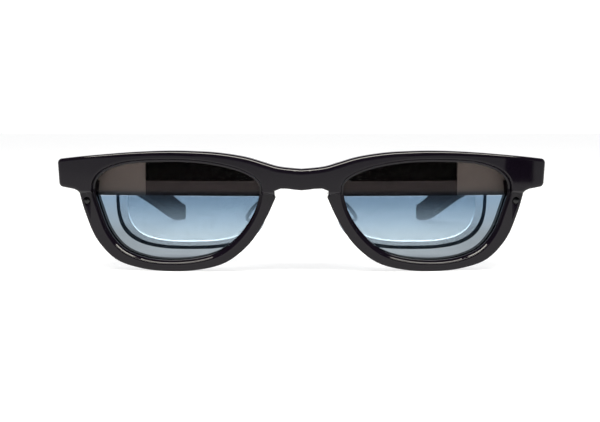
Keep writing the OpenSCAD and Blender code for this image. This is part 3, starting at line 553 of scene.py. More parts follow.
@dataclass(frozen=True)
class FrontShape:
    """The outlines that the front, the lenses and the optics share, seen from the front."""

    width: float = 148.0
    height: float = 36.4
    wrap_r: float = 380.0
    thickness: float = 5.0
    rim_step: float = 0.8
    bridge_top: float = 31.05
    bridge_bottom: float = 24.65
    nose_gap: float = 15.4
    lug_top: float = 33.9
    lug_bottom: float = 24.7
    lug_corner: float = 1.4
    lens_w: float = 51.7
    lens_h: float = 31.35
    lens_gap: float = 23.4
    rim_bottom: float = 2.4
    rim_nose: float = 3.2
    rim_side: float = 4.0
    engine_x: float = 34.0
    lowest_rim: float = 2.46
    brow_round: Point = (1.75, 1.0)
    lug_round: float = 0.9
    rim_round: float = 0.7
    under_round: float = 0.6
    mirror_half: float = 23.5
    mirror_bottom: float = 5.8
    mirror_drop: float = 16.2

    @property
    def eye_x(self) -> float:
        """Distance of the middle of a lens from the middle of the face."""
        return (self.lens_gap + self.lens_w) / 2

    def sag(self, x: float, y: float = 0.0) -> float:
        """How much deeper a point gets when a flat depth of y is bent round the face."""
        r = self.wrap_r - y
        return r - math.sqrt(r * r - x * x)

    def lens_point(self, i: int) -> Vector:
        """A control point of the left lens opening."""
        u, v = LENS_SHAPE[i % len(LENS_SHAPE)]
        return Vector((self.eye_x + u * self.lens_w, self.rim_bottom + v * self.lens_h))

    def outward(self, i: int) -> Vector:
        """The direction away from the lens at one of its control points."""
        d = (self.lens_point(i + 1) - self.lens_point(i - 1)).normalized()
        return Vector((d.y, -d.x))

    def lens_outline(self, grown: float = 0.0) -> list[Point]:
        """The left lens opening, grown outwards by some millimetres, anticlockwise."""
        return closed_curve([tuple(self.lens_point(i) + self.outward(i) * grown) for i in range(len(LENS_SHAPE))])

    def rim_point(self, i: int) -> Vector:
        """A control point of the outside of the rim, beside a control point of the lens opening.

        Args:
            i: The index of the lens opening's control point.

        Returns:
            The point, as x and z.
        """
        if i == LOWEST:
            w = self.lowest_rim
        elif i < LOWEST:
            w = self.rim_bottom + (self.rim_nose - self.rim_bottom) * NOSE_SHARE[i - FIRST_NOSE]
        else:
            w = self.rim_bottom + (self.rim_side - self.rim_bottom) * SIDE_SHARE[i - LOWEST]
        p = self.lens_point(i) + self.outward(i) * w
        return Vector((p.x, max(p.y, 0.0)))

    def half_outline(self) -> list[tuple[float, float, float]]:
        """The left half of the outline, from the top of the bridge outwards and round to its underside.

        Returns:
            Triples of x, z and the radius that the front edge is rounded to there.
        """
        half, corner = self.width / 2, self.lug_corner
        rise = self.height - self.bridge_top
        brow = [(u * self.eye_x, self.bridge_top + v * rise) for u, v in BROW_RISE] + [
            (self.eye_x + u * (half - corner - self.eye_x), self.height - v * (self.height - self.lug_top))
            for u, v in BROW_FALL
        ]
        n = len(LENS_SHAPE)
        foot = (self.rim_point(n).x + 1.6, self.lug_bottom - 0.1)
        nose = (self.nose_gap / 2, self.bridge_bottom - 2.2)
        rim = [(self.rim_point(n).x, self.rim_point(n).y - 0.6)]
        rim += [tuple(self.rim_point(i)) for i in range(n - 1, FIRST_NOSE, -1)] + [nose]
        g, b = self.nose_gap, self.bridge_bottom
        lug = arc((half - corner, self.lug_top - corner), corner, 85, 0, 6)[1:]
        lug += arc((half - corner - 0.3, self.lug_bottom + 0.5 + corner), corner, 0, -80, 6)
        lug += [(foot[0], foot[1]), (foot[0] - 1.1, foot[1] - 0.5)]
        under = open_curve([(g / 2 - 1.5, b + 0.5), (g / 2 - 3.6, b + 0.45), (0.14 * g, b + 0.2), (0, b)])
        full, least = self.brow_round
        out = [(x, z, full - (full - least) * smooth_step(10, 66, x)) for x, z in open_curve(brow)]
        out += [(x, z, self.lug_round) for x, z in lug]
        out += [(x, z, self.rim_round) for x, z in open_curve(rim)]
        out += [(nose[0] + 0.35, nose[1] + 1.0, 0.6), (nose[0] + 0.3, nose[1] + 2.0, 0.5)]
        return out + [(x, z, self.under_round) for x, z in under]

    def outline(self) -> tuple[list[Point], list[float]]:
        """The whole outline as seen from the front.

        Returns:
            Its points, anticlockwise, and the radius that the front edge is rounded to at each.
        """
        half = self.half_outline()
        whole = [(-x, z, r) for x, z, r in half] + [p for p in reversed(half[1:-1])]
        return [(x, z) for x, z, _ in whole], [r for _, _, r in whole]

    def mirror_outline(self, inset: float = 0.0, top: float = 30.0) -> list[Point]:
        """The D that the left curved mirror is cut to, as seen from the front.

        Args:
            inset: How far it is drawn in.
            top: The height of its straight top edge.

        Returns:
            Its points, anticlockwise from its top left.
        """
        half_w, bottom = self.mirror_half - inset, self.mirror_bottom + inset
        side = open_curve([(u * half_w, bottom + v * self.mirror_drop) for u, v in MIRROR_SHAPE])
        loop = [(half_w, top)] + side + [(-x, z) for x, z in reversed(side[:-1])] + [(-half_w, top)]
        return [(self.engine_x + x, z) for x, z in reversed(loop)]


SHAPE = FrontShape()


def circle(centre: Point, r: float, n: int = 32) -> list[Point]:
    """Points on a circle, anticlockwise."""
    return arc(centre, r, 0, 360 * (n - 1) / n, n - 1)


def rounding(r: float, steps: int = 6) -> list[Point]:
    """A quarter-round edge as pairs of inset and depth, from the face of a plate to its side."""
    angles = [math.radians(90 * k / steps) for k in range(steps + 1)]
    return [(r * (1 - math.sin(a)), r * (1 - math.cos(a))) for a in angles]


@dataclass
class FrontFrame:
    """The glossy front: brow, bridge, end lugs and lower rims in one moulding, bent round the face."""

    shape: FrontShape = SHAPE
    lip_front: float = 1.95
    lip_back: float = 2.75
    lip_w: float = 0.8
    lip_curve: tuple = ((0.0, 1.3), (-0.22, 1.72), (-0.6, 1.92), (-0.8, 2.1))
    edge: float = 0.45
    back_edge: float = 0.25
    step_top: float = 24.15
    step_bottom: float = 23.35
    strip: float = 1.5
    camera: Point = (65.1, 21.1)
    camera_r: float = 1.2

    def hole(self, bm: BMesh, side: Side) -> tuple[list[Vert], list[Vert]]:
        """One lens opening, from the face of the frame back through the lip to the open pocket behind it.

        Args:
            bm: The mesh.
            side: Which lens.

        Returns:
            The first ring, on the face, and the last one, on the back.
        """
        section = [(self.edge + FLAT, 0.0), *rounding(self.edge), *self.lip_curve]
        section += [(-self.lip_w, self.lip_back - 0.06), (-self.lip_w + 0.06, self.lip_back)]
        section += [(0.0, self.lip_back), (0.0, self.shape.thickness - 0.1), (0.1, self.shape.thickness)]
        loops = [[(side.value * x, y, z) for x, z in self.shape.lens_outline(g)] for g, y in section]
        return join_rings(bm, loops)

    def camera_hole(self, bm: BMesh, side: Side) -> tuple[list[Vert], list[Vert]]:
        """The bore for a tracking camera, straight through the rim.

        Args:
            bm: The mesh.
            side: Which rim.

        Returns:
            The first ring and the last one.
        """
        centre = (side.value * self.camera[0], self.camera[1])
        section = [(self.camera_r + 0.07, 0.0), (self.camera_r, 0.07), (self.camera_r, self.shape.thickness)]
        loops = [[(x, y, z) for x, z in circle(centre, r)] for r, y in section]
        return join_rings(bm, loops)

    def bend(self, bm: BMesh) -> None:
        """Sets the lower rims back behind the brow and bends the flat moulding round the face.

        Args:
            bm: The mesh.
        """
        for v in bm.verts:
            drop = (self.step_top - v.co.z) / (self.step_top - self.step_bottom)
            share = min(1.0, max(0.0, drop)) * max(0.0, 1 - v.co.y / self.lip_front)
            v.co.y += self.shape.rim_step * share
            v.co.y += self.shape.sag(v.co.x, v.co.y)

    def build(self, material: Material) -> Piece:
        """The whole moulding.

        Args:
            material: Its material.

        Returns:
            The piece.
        """
        bm = bmesh.new()
        outline, rounds = self.shape.outline()
        depth, back = self.shape.thickness, self.back_edge
        section = [[(r + FLAT, 0.0) for r in rounds]]
        section += [list(pairs) for pairs in zip(*(rounding(r) for r in rounds))]
        section += [[(0.0, depth - back)] * len(rounds), [(back, depth)] * len(rounds)]
        loops = []
        for pairs in section:
            flat = drawn_in(outline, [inset for inset, _ in pairs])
            loops.append([(x, y, z) for (x, z), (_, y) in zip(flat, pairs)])
        first, last = join_rings(bm, loops)
        holes = [make(bm, side) for make in (self.hole, self.camera_hole) for side in Side]
        fill_between(bm, [first] + [h[0] for h in holes], (0, -1, 0))
        fill_between(bm, [last] + [h[1] for h in holes], (0, 1, 0))
        half = self.shape.width / 2
        slice_up(bm, (0, 0, 1), (self.step_bottom, self.step_top))
        slice_up(bm, (1, 0, 0), spaced(-half, half, self.strip)[1:-1])
        self.bend(bm)
        return finish_piece(bm, "front_frame_moulding", [material], stands_for=["front_frame"], slot="gloss_frame")


@dataclass
class FrontLens:
    """A tinted front lens, a thin plate bent round the face behind the frame's lip."""

    side: Side
    shape: FrontShape = SHAPE
    front: float = 2.775
    back: float = 4.975
    clearance: float = 0.15
    edge: float = 0.25
    margin: float = 0.3
    reach: Point = (11.0, 64.0)
    strip: float = 1.5

    def build(self, material: Material) -> Piece:
        """The lens, with its edge rounded at the front and the back.

        Args:
            material: Its material.

        Returns:
            The piece.
        """
        bm = bmesh.new()
        near = [(e, self.front + y) for e, y in [(self.edge + self.margin, 0.0)] + rounding(self.edge, 3)]
        far = [(e, self.front + self.back - y) for e, y in reversed(near)]
        plate(bm, self.shape.lens_outline(-self.clearance), near + far)
        slice_up(bm, (1, 0, 0), spaced(*self.reach, self.strip)[1:-1])
        for v in bm.verts:
            v.co.y += self.shape.sag(v.co.x, v.co.y)
        return finish_side(bm, self.side, "lens_plate", [material], ["front_lens"], slot="front_glass")


def close_glass(bm: BMesh, first: Sequence[Vert], last: Sequence[Vert]) -> None:
    """Gives the edges of a glass plate the material with index 1, and closes its two faces with index 0.

    Args:
        bm: The mesh, which has only the edges' faces so far.
        first: The ring round the near face.
        last: The ring round the far face.
    """
    for f in bm.faces:
        f.material_index = 1
    fill_between(bm, [first], (0, -1, 0))
    fill_between(bm, [last], (0, 1, 0))


@dataclass
class CurvedMirror:
    """The curved half mirror behind a lens, a spherical shell cut to a D, with inked edges and an inked border."""

    side: Side
    shape: FrontShape = SHAPE
    nearest: float = 8.7
    radius: float = 60.0
    thickness: float = 1.5
    axis_z: float = 19.0
    margin: float = 1.1
    half: float = 24.0
    rise: Point = (5.0, 30.0)
    grid: float = 2.0

    def dome(self, x: float, z: float, r: float) -> float:
        """The depth of a sphere of radius r about the mirror's centre, at x and z."""
        dx, dz = x - self.shape.engine_x, z - self.axis_z
        return self.nearest + self.radius - math.sqrt(r * r - dx * dx - dz * dz)

    def build(self, glass: Material, edge: Material) -> Piece:
        """The shell.

        Args:
            glass: The material of its faces, with index 0.
            edge: The material of its edges and border, with index 1.

        Returns:
            The piece.
        """
        bm = bmesh.new()
        # Pairs of inset in millimetres and share of the thickness
        section = ((self.margin, 0.0), (0.12, 0.0), (0.0, 0.1), (0.0, 0.9), (0.12, 1.0))
        loops = [[(x, y, z) for x, z in self.shape.mirror_outline(e)] for e, y in section]
        close_glass(bm, *join_rings(bm, loops))
        middle = self.shape.engine_x
        slice_up(bm, (1, 0, 0), spaced(middle - self.half, middle + self.half, self.grid))
        slice_up(bm, (0, 0, 1), spaced(*self.rise, self.grid)[1:-1])
        for v in bm.verts:
            near = self.dome(v.co.x, v.co.z, self.radius)
            far = self.dome(v.co.x, v.co.z, self.radius - self.thickness)
            v.co.y = near + (far - near) * v.co.y
        nodes = ["curved_mirror"]
        return finish_side(bm, self.side, "mirror_shell", [glass, edge], nodes, slot="mirror_glass", flat_above=8)


@dataclass
class BeamSplitter:
    """The flat splitter plate behind a mirror, leaning back at its angle, with polished edges that carry a painted
    highlight.
    """

    side: Side
    shape: FrontShape = SHAPE
    inset: float = 2.2
    foot: Point = (11.9, 8.0)
    lean: float = 37.0
    thickness: float = 0.9
    top: float = 24.55
    polished: float = 0.4
    chamfer: float = 0.1

    def build(self, glass: Material, edge: Material) -> Piece:
        """The plate.

        Args:
            glass: The material of its faces, with index 0.
            edge: The material of its polished edges and of a margin of its near face, with index 1: a painted
                highlight.

        Returns:
            The piece.
        """
        bm = bmesh.new()
        outline = [p for p in self.shape.mirror_outline(self.inset, self.top) if p[1] <= self.top]
        run = self.thickness / math.cos(math.radians(self.lean))
        e = self.chamfer
        # The first ring leaves a margin of the near face in the edge's material, a painted highlight line
        section = ((self.polished, 0.0), (e, 0.0), (0.0, e), (0.0, run - e), (e, run))
        loops = [[(x, y, z) for x, z in drawn_in(outline, inset)] for inset, y in section]
        close_glass(bm, *join_rings(bm, loops))
        for v in bm.verts:
            v.co.y += self.foot[0] + (v.co.z - self.foot[1]) * math.tan(math.radians(self.lean))
        nodes = ["beam_splitter"]
        return finish_side(bm, self.side, "splitter_plate", [glass, edge], nodes, slot="splitter_glass", flat_above=5)


def sink(bm: BMesh, faces: Sequence[Face], move: Sequence[float], floor: int = 0) -> None:
    """Pushes a patch of faces into the surface, with walls round it.

    Args:
        bm: The mesh.
        faces: The patch, whose faces join up.
        move: How far it goes, in millimetres.
        floor: The material index that the pushed faces take.
    """
    edges = dict.fromkeys(e for f in faces for e in f.edges)
    corners = dict.fromkeys(v for f in faces for v in f.verts)
    made = bmesh.ops.extrude_face_region(bm, geom=[*faces, *edges, *corners])["geom"]
    bmesh.ops.translate(bm, vec=move, verts=[g for g in made if isinstance(g, Vert)])
    for g in made:
        if isinstance(g, Face):
            g.material_index = floor


# Sizes of a temple, as shares of its length and millimetres

CENTRE = ((0, 0), (0.15, 0), (0.33, 0.05), (0.5, 0.17), (0.66, 0.37), (0.83, 0.67), (1, 1))
SLIM = (0, 0.02, 0.12, 0.32, 0.6, 0.85, 1)
TOP = (
    (0, 0), (0.15, -0.5), (0.33, -2.2), (0.5, -5.2), (0.62, -9.0), (0.74, -14.1), (0.86, -20.4), (0.95, -24.8),
    (0.985, -26.2), (1, -26.6),
)  # fmt: skip
UNDER = (
    (0, 24.75), (0.1, 23.0), (0.2, 21.4), (0.33, 19.6), (0.47, 17.6), (0.58, 15.4), (0.68, 12.2), (0.78, 7.9),
    (0.87, 3.7), (0.935, 1.0), (0.965, 0.15), (0.98, 0), (0.995, 0), (1, 0.4),
)  # fmt: skip


@dataclass(frozen=True)
class TempleShape:
    """The run of a left temple: where its two faces, its top and its underside are."""

    front: float = 29.15
    joint: float = 103.46
    back: float = 153.0
    middle: float = 69.3
    thick: float = 7.0
    thin: float = 4.4
    toe_in: float = 14.5
    top: float = 33.5
    hinge: Point = (65.5, 29.0)
    knuckle_room: float = 2.0
    end_round: float = 0.9
    least_pinch: float = 0.45

    def line(self, points: Iterable[Point]) -> list[Point]:
        """A smooth line through points given as a share of the length and a place, as pairs of depth and place."""
        return open_curve([(self.front + t * (self.back - self.front), v) for t, v in points])

    def face(self, way: int) -> list[Point]:
        """The outer face's line for a way of 1, the inner one's for -1."""
        halves = [(self.thick + (self.thin - self.thick) * s) / 2 for s in SLIM]
        return self.line((t, self.middle - self.toe_in * v + way * h) for (t, v), h in zip(CENTRE, halves))

    @cached_property
    def inner_line(self) -> list[Point]:
        """The inner face."""
        return self.face(-1)

    @cached_property
    def outer_line(self) -> list[Point]:
        """The outer face."""
        return self.face(1)

    @cached_property
    def top_line(self) -> list[Point]:
        """The top."""
        return self.line((t, self.top + v) for t, v in TOP)

    @cached_property
    def under_line(self) -> list[Point]:
        """The underside."""
        return self.line(UNDER)

    def middle_x(self, y: float) -> float:
        """The middle of the thickness at a depth of y."""
        return (lookup(y, self.inner_line) + lookup(y, self.outer_line)) / 2

    def sides(self, y: float) -> tuple[float, float, float, float]:
        """Where the four sides are at one depth, clear of the hinge and drawn in at the end.

        Args:
            y: The depth.

        Returns:
            The x of the inner and the outer face, then the z of the underside and the top.
        """
        inner, outer = lookup(y, self.inner_line), lookup(y, self.outer_line)
        reach = self.knuckle_room**2 - (y - self.hinge[1]) ** 2
        if reach > 0:
            inner = max(inner, self.hinge[0] + math.sqrt(reach))
        past = max(0.0, (y - self.back + self.end_round) / self.end_round)
        pinch = (outer - inner) / 2 * (1 - math.sqrt(max(self.least_pinch, 1 - past * past)))
        return inner + pinch, outer - pinch, lookup(y, self.under_line), lookup(y, self.top_line)


TEMPLE = TempleShape()


@dataclass
class TempleLoft:
    """A length of a temple: rounded sections swept back, with flats along which openings can be sunk."""

    shape: TempleShape = TEMPLE
    corner: float = 1.4
    turns: int = 5
    cover_margin: float = 2.2
    sliver: float = 0.02

    def __post_init__(self) -> None:
        """Starts with an empty mesh and no sections."""
        self.bm = bmesh.new()
        self.rings: list[list[Vert]] = []
        self.places: list[float] = []

    def section(self, y: float, inset: float, low: Point, high: Point, soft: float) -> list[tuple]:
        """One section, anticlockwise as seen from the front.

        Args:
            y: Its depth.
            inset: How far it is drawn in.
            low: The two x between which an opening in the underside lies.
            high: The two x between which an opening in the top lies.
            soft: The radius of its corners.

        Returns:
            The section's points.
        """
        x0, x1, z0, z1 = self.shape.sides(y)
        x0, x1, z0, z1 = x0 + inset, x1 - inset, z0 + inset, z1 - inset
        s = self.sliver
        r = max(0.2, min(soft, (x1 - x0) / 2 - 4 * s, (z1 - z0) / 2 - 4 * s))
        under, over = (
            [(min(max(x, x0 + r + s * k), x1 - r - 4 * s + s * k), z) for k, x in enumerate(marks, 1)]
            for marks, z in ((low, z0), (high, z1))
        )
        m = min(self.cover_margin, (z1 - z0) / 2 - 0.05)
        points = under + arc((x1 - r, z0 + r), r, 270, 360, self.turns) + arc((x1 - r, z1 - r), r, 0, 90, self.turns)
        points += over[::-1] + arc((x0 + r, z1 - r), r, 90, 180, self.turns)
        points += [(x0, max(z1 - m, z0 + r + 2 * s)), (x0, min(z0 + m, z1 - r - 2 * s))]
        points += arc((x0 + r, z0 + r), r, 180, 270, self.turns)
        return [(x, y, z) for x, z in points]

    def sweep(self, sections: Sequence[tuple[float, list[tuple]]]) -> None:
        """Joins sections in order and closes both ends.

        Args:
            sections: The sections, each with its depth.
        """
        for y, points in sections:
            self.rings.append(next_ring(self.bm, self.rings[-1], points) if self.rings else start_ring(self.bm, points))
            self.places.append(y)
        fill_between(self.bm, [self.rings[0]], (0, -1, 0))
        fill_between(self.bm, [self.rings[-1]], (0, 1, 0))

    def patch(self, first: int, y0: float, y1: float) -> list[Face]:
        """The faces of one strip along the temple, between two depths.

        Args:
            first: The index of the strip's first point in a section.
            y0: The depth that it starts at.
            y1: The depth that it ends at.

        Returns:
            The faces, in order of depth.
        """
        near = 1e-6
        spans = zip(self.places, self.rings, self.rings[1:])
        pairs = [(a, b) for y, a, b in spans if y0 - near <= y < y1 - near]
        return [self.bm.faces.get((a[first], a[first + 1], b[first + 1], b[first])) for a, b in pairs]

    @property
    def over_strip(self) -> int:
        """The index of the top's strip."""
        return 2 + 2 * (self.turns + 1)

    @property
    def cover_strip(self) -> int:
        """The index of the inner face's strip."""
        return 4 + 3 * (self.turns + 1)


def stations(low: float, high: float, step: float, fixed: Sequence[float]) -> list[float]:
    """Depths from low to high, a step apart, with fixed ones among them."""
    loose = [y for y in spaced(low, high, step) if all(abs(y - f) > step * 0.3 for f in fixed)]
    return sorted(set(loose) | {f for f in fixed if low <= f <= high} | {low, high})


@dataclass
class TempleCasing:
    """The front two thirds of a temple, with its key slots, its speaker slots and the pocket for the cover."""

    side: Side
    shape: TempleShape = TEMPLE
    key_x: float = 69.8
    key_half: float = 1.22
    grille_half: float = 0.9
    grille_wall: float = 1.05
    cover: Point = (42.15, 99.46)
    pocket: float = 0.35
    mode: Point = (44.72, 49.98)
    rocker: Point = (52.72, 65.98)
    power: Point = (49.22, 55.48)
    speaker: Point = (79.93, 15.0)
    slots: int = 5
    slot_half: float = 0.5
    keys_end: float = 72.0
    key_depth: float = 0.8

    def slot_middles(self) -> list[float]:
        """The depths of the speaker slots."""
        return [self.speaker[0] + self.speaker[1] * (k + 0.7) / (self.slots + 0.4) for k in range(self.slots)]

    def build(self, shell: Material, mesh: Material) -> Piece:
        """The casing.

        Args:
            shell: The material of the shell, with index 0.
            mesh: The material behind the speaker slots, with index 1.

        Returns:
            The piece.
        """
        loft = TempleLoft()
        keys = [*self.mode, *self.rocker, *self.power] if self.side is Side.RIGHT else []
        slots = [(m - self.slot_half, m + self.slot_half) for m in self.slot_middles()]
        fixed = [*self.cover, *keys, *(y for pair in slots for y in pair)]
        y0, y1 = self.shape.front, self.shape.joint
        ends = [(y0, 0.5), (y0 + 0.06, 0.28), (y0 + 0.2, 0.1), (y0 + 0.5, 0.0)]
        body = [(y, 0.0) for y in stations(y0 + 1.1, y1 - 0.3, 2.2, fixed)]
        sections = []
        for y, inset in ends + body + [(y1 - 0.12, 0.0), (y1, 0.12)]:
            x = self.shape.middle_x(y)
            key = (self.key_x - self.key_half, self.key_x + self.key_half)
            low = key if y < self.keys_end else (x - self.grille_half, x + self.grille_half)
            sections.append((y, loft.section(y, inset, low, key, loft.corner)))
        loft.sweep(sections)
        for a, b in slots:
            sink(loft.bm, loft.patch(0, a, b), (0, 0, self.grille_wall), 1)
        if self.side is Side.RIGHT:
            sink(loft.bm, loft.patch(0, *self.mode), (0, 0, self.key_depth))
            sink(loft.bm, loft.patch(0, *self.rocker), (0, 0, self.key_depth))
            sink(loft.bm, loft.patch(loft.over_strip, *self.power), (0, 0, -self.key_depth))
        sink(loft.bm, loft.patch(loft.cover_strip, *self.cover), (self.pocket, 0, 0))
        nodes, body = ["temple_casing", "speaker_grille"], f"{self.side.word}_temple"
        return finish_side(loft.bm, self.side, "temple_shell", [shell, mesh], nodes, body=body, slot="satin_shell")


@dataclass
class TempleCover:
    """The long cover set flush into the inner face of a casing."""

    side: Side
    shape: TempleShape = TEMPLE
    reach: Point = (42.15, 99.46)
    margin: float = 2.2
    gap: float = 0.1
    thickness: float = 0.32
    edge: float = 0.14

    def build(self, material: Material) -> Piece:
        """The cover, with rounded edges.

        Args:
            material: Its material.

        Returns:
            The piece.
        """
        bm = bmesh.new()
        places = stations(self.reach[0] + self.gap, self.reach[1] - self.gap, 2.2, [])
        low = [(y, self.shape.sides(y)[2] + self.margin + self.gap) for y in places]
        high = [(y, self.shape.sides(y)[3] - self.margin - self.gap) for y in places]
        outline = low + high[::-1]
        section = [*rounding(self.edge, 3), (0.0, self.thickness)]
        loops = [[(d, y, z) for y, z in drawn_in(outline, e)] for e, d in section]
        first, last = join_rings(bm, loops)
        fill_between(bm, [first], (-1, 0, 0))
        fill_between(bm, [last], (1, 0, 0))
        slice_up(bm, (0, 1, 0), places[1:-1])
        for v in bm.verts:
            v.co.x += lookup(v.co.y, self.shape.inner_line)
        nodes, body = ["temple_cover"], f"{self.side.word}_temple"
        return finish_side(bm, self.side, "inner_cover", [material], nodes, body=body, slot="satin_shell")


@dataclass
class EarTip:
    """The soft last third of a temple; the left one holds the port in its underside."""

    side: Side
    shape: TempleShape = TEMPLE
    seam: float = 0.05
    casing_corner: float = 1.4
    settle: float = 14.0
    soft: float = 1.0
    tight: float = 0.65
    port: Point = (125.85, 134.33)
    port_half: float = 1.64
    port_depth: float = 5.6
    port_lean: float = 22.0
    port_fade: Point = (1.0, 6.0)

    def softness(self, y: float) -> float:
        """The radius of the corners: small beside the port, so that its opening has a flat to lie in.

        Args:
            y: The depth.

        Returns:
            The radius, in millimetres.
        """
        (start, end), (a, b) = self.port, self.port_fade
        near = smooth_step(start - b, start - a, y) * (1 - smooth_step(end + a, end + b, y))
        share = near if self.side is Side.LEFT else 0.0
        settled = smooth_step(self.shape.joint, self.shape.joint + self.settle, y)
        full = self.casing_corner + (self.soft - self.casing_corner) * settled
        return full + (self.tight - full) * share

    def build(self, rubber: Material, inside: Material) -> Piece:
        """The tip.

        Args:
            rubber: The material of the tip, with index 0.
            inside: The material inside the port, with index 1.

        Returns:
            The piece.
        """
        loft = TempleLoft(turns=7)
        y0, y1 = self.shape.joint + self.seam, self.shape.back
        fixed = list(self.port) if self.side is Side.LEFT else []
        body = [(y, 0.0) for y in stations(y0 + 1.2, y1 - 2.0, 1.8, fixed)]
        tail = [(y1 - 1.4, 0.0), (y1 - 0.9, 0.0), (y1 - 0.5, 0.04), (y1 - 0.2, 0.14), (y1 - 0.05, 0.26), (y1, 0.4)]
        sections = []
        for y, inset in [(y0, 0.12), (y0 + 0.12, 0.0)] + body + tail:
            x = self.shape.middle_x(y)
            marks = (x - self.port_half, x + self.port_half)
            sections.append((y, loft.section(y, inset, marks, marks, self.softness(y))))
        loft.sweep(sections)
        if self.side is Side.LEFT:
            lean = math.radians(self.port_lean)
            depth = (0, self.port_depth * math.sin(lean), self.port_depth * math.cos(lean))
            sink(loft.bm, loft.patch(0, *self.port), depth, 1)
        nodes, body = ["ear_tip"], f"{self.side.word}_temple"
        return finish_side(loft.bm, self.side, "soft_tip", [rubber, inside], nodes, body=body, slot="tip_rubber")


# Smaller parts of the front


@dataclass
class RearFrame:
    """The rear frame behind the lenses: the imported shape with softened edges, sorted into its three surfaces."""

    shape: FrontShape = SHAPE
    window: Point = (14.2, 47.4)
    window_bottom: float = 27.1
    face: float = 5.0
    panel_bottom: float = 22.0
    edge: float = 0.22
    facing: float = 0.7
    pocket_depth: float = 1.0
    painted_shade_ledge_height: float = 2.0

    def surface(self, face: Face) -> int:
        """Tells which surface a face belongs to, from its place and the way that it looks.

        Args:
            face: The face.

        Returns:
            The surface's index: 0 shell, 1 display window and painted shade on the ledge at its foot, 2 end panel.
        """
        middle, normal = face.calc_center_median(), face.normal
        x, deep = abs(middle.x), middle.y - self.shape.sag(middle.x, self.face) - self.face
        # Upward faces of the ledge at the window's foot take the window's black, a painted shade that hides the light
        # falling on them
        painted_shade_ledge = normal.z > self.facing and 0 < middle.z - self.window_bottom < self.painted_shade_ledge_height
        if not (normal.y < -self.facing or painted_shade_ledge) or middle.z < self.panel_bottom or deep > self.pocket_depth:
            return 0
        if self.window[0] < x < self.window[1] and middle.z > self.window_bottom:
            return 1
        # The end panels' grey is a painted reflection of the room in the lens before them
        return 2 if x > self.window[1] else 0

    def build(self, *materials: Material) -> Piece:
        """The rear frame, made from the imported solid.

        Args:
            materials: A material for each of its three surfaces.

        Returns:
            The piece.
        """
        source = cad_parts["rear_frame"]
        bm = bmesh.new()
        bm.from_mesh(source.data)
        bm.transform(source.matrix_world)
        bmesh.ops.scale(bm, vec=(1 / MM, 1 / MM, 1 / MM), verts=bm.verts)
        bmesh.ops.translate(bm, vec=(0, HALF_DEPTH, 0), verts=bm.verts)
        bmesh.ops.remove_doubles(bm, verts=bm.verts, dist=0.002)
        bmesh.ops.dissolve_limit(bm, angle_limit=math.radians(0.3), verts=bm.verts, edges=bm.edges)
        bmesh.ops.recalc_face_normals(bm, faces=bm.faces)
        for f in bm.faces:
            f.material_index = 0
        slice_up(bm, (1, 0, 0), [way * x for way in (-1, 1) for x in self.window])
        slice_up(bm, (0, 0, 1), [self.window_bottom])
        for f in bm.faces:
            f.material_index = self.surface(f)
        joined = [e for e in bm.edges if len(e.link_faces) == 2 and e.calc_length() > 2 * self.edge]
        sharp = [e for e in joined if e.calc_face_angle(0) > BROKEN_ABOVE]
        bmesh.ops.bevel(
            bm,
            geom=sharp,
            offset=self.edge,
            offset_type="OFFSET",
            segments=2,
            profile=0.5,
            affect="EDGES",
            clamp_overlap=True,
            material=-1,
        )
        obj = finish_piece(bm, "rear_frame_moulding", materials, stands_for=["rear_frame"], slot="satin_shell")
        # The broad faces keep their own normals beside the narrow broken edges
        weighted = obj.modifiers.new("broad_faces", "WEIGHTED_NORMAL")
        weighted.keep_sharp = True
        return obj


@dataclass
class CameraWindow:
    """The domed window over a tracking camera, turned about the camera's axis."""

    side: Side
    centre: Point = (65.1, 21.1)
    face: float = 6.42
    around: int = 36
    profile: tuple = ((0.0, 0.06), (0.45, 0.09), (0.8, 0.17), (1.02, 0.28), (1.13, 0.42), (1.14, 0.95), (0.0, 0.95))

    def build(self, material: Material) -> Piece:
        """The window.

        Args:
            material: Its material.

        Returns:
            The piece.
        """
        bm = bmesh.new()
        x, z = self.side.value * self.centre[0], self.centre[1]
        line = [bm.verts.new((x + r, self.face + y, z)) for r, y in self.profile]
        edges = [bm.edges.new(pair) for pair in zip(line, line[1:])]
        turn = {"cent": (x, self.face, z), "axis": (0, 1, 0), "angle": 2 * math.pi, "steps": self.around}
        bmesh.ops.spin(bm, geom=line + edges, use_merge=True, **turn)
        word = self.side.word
        return finish_piece(bm, f"{word}_camera_dome", [material], [f"{word}_camera_window"], "sensor_glass")


@dataclass(frozen=True)
class NoseAngle:
    """The place and the splay of the left nose pad."""

    x: float = 13.25
    y: float = 24.5
    z: float = 11.5
    splay: float = 28.0

    def place(self, u: float, v: float, w: float) -> tuple[float, float, float]:
        """A point u out from the nose, v back and w up along the pad."""
        a = math.radians(self.splay)
        return (self.x + u * math.cos(a) - w * math.sin(a), self.y + v, self.z + u * math.sin(a) + w * math.cos(a))


NOSE = NoseAngle()


@dataclass
class NosePad:
    """A soft pad, crowned towards the nose."""

    side: Side
    length: float = 13.0
    width: float = 7.5
    crown: tuple = (
        (3.1, 0.0), (2.3, 0.08), (1.6, 0.24), (1.0, 0.5), (0.5, 0.86), (0.16, 1.28), (0.0, 1.7), (0.1, 2.05),
        (0.4, 2.3), (0.85, 2.4),
    )  # fmt: skip

    def build(self, material: Material) -> Piece:
        """The pad.

        Args:
            material: Its material.

        Returns:
            The piece.
        """
        bm = bmesh.new()
        r, reach = self.width / 2, (self.length - self.width) / 2
        outline = arc((0, reach), r, 0, 180, 18) + arc((0, -reach), r, 180, 360, 18)
        loops = [[NOSE.place(u, v, w) for v, w in drawn_in(outline, e)] for e, u in self.crown]
        cap(bm, *join_rings(bm, loops))
        pad = finish_side(bm, self.side, "pad_cushion", [material], ["nose_pad"], slot="pad_silicone")
        return pad


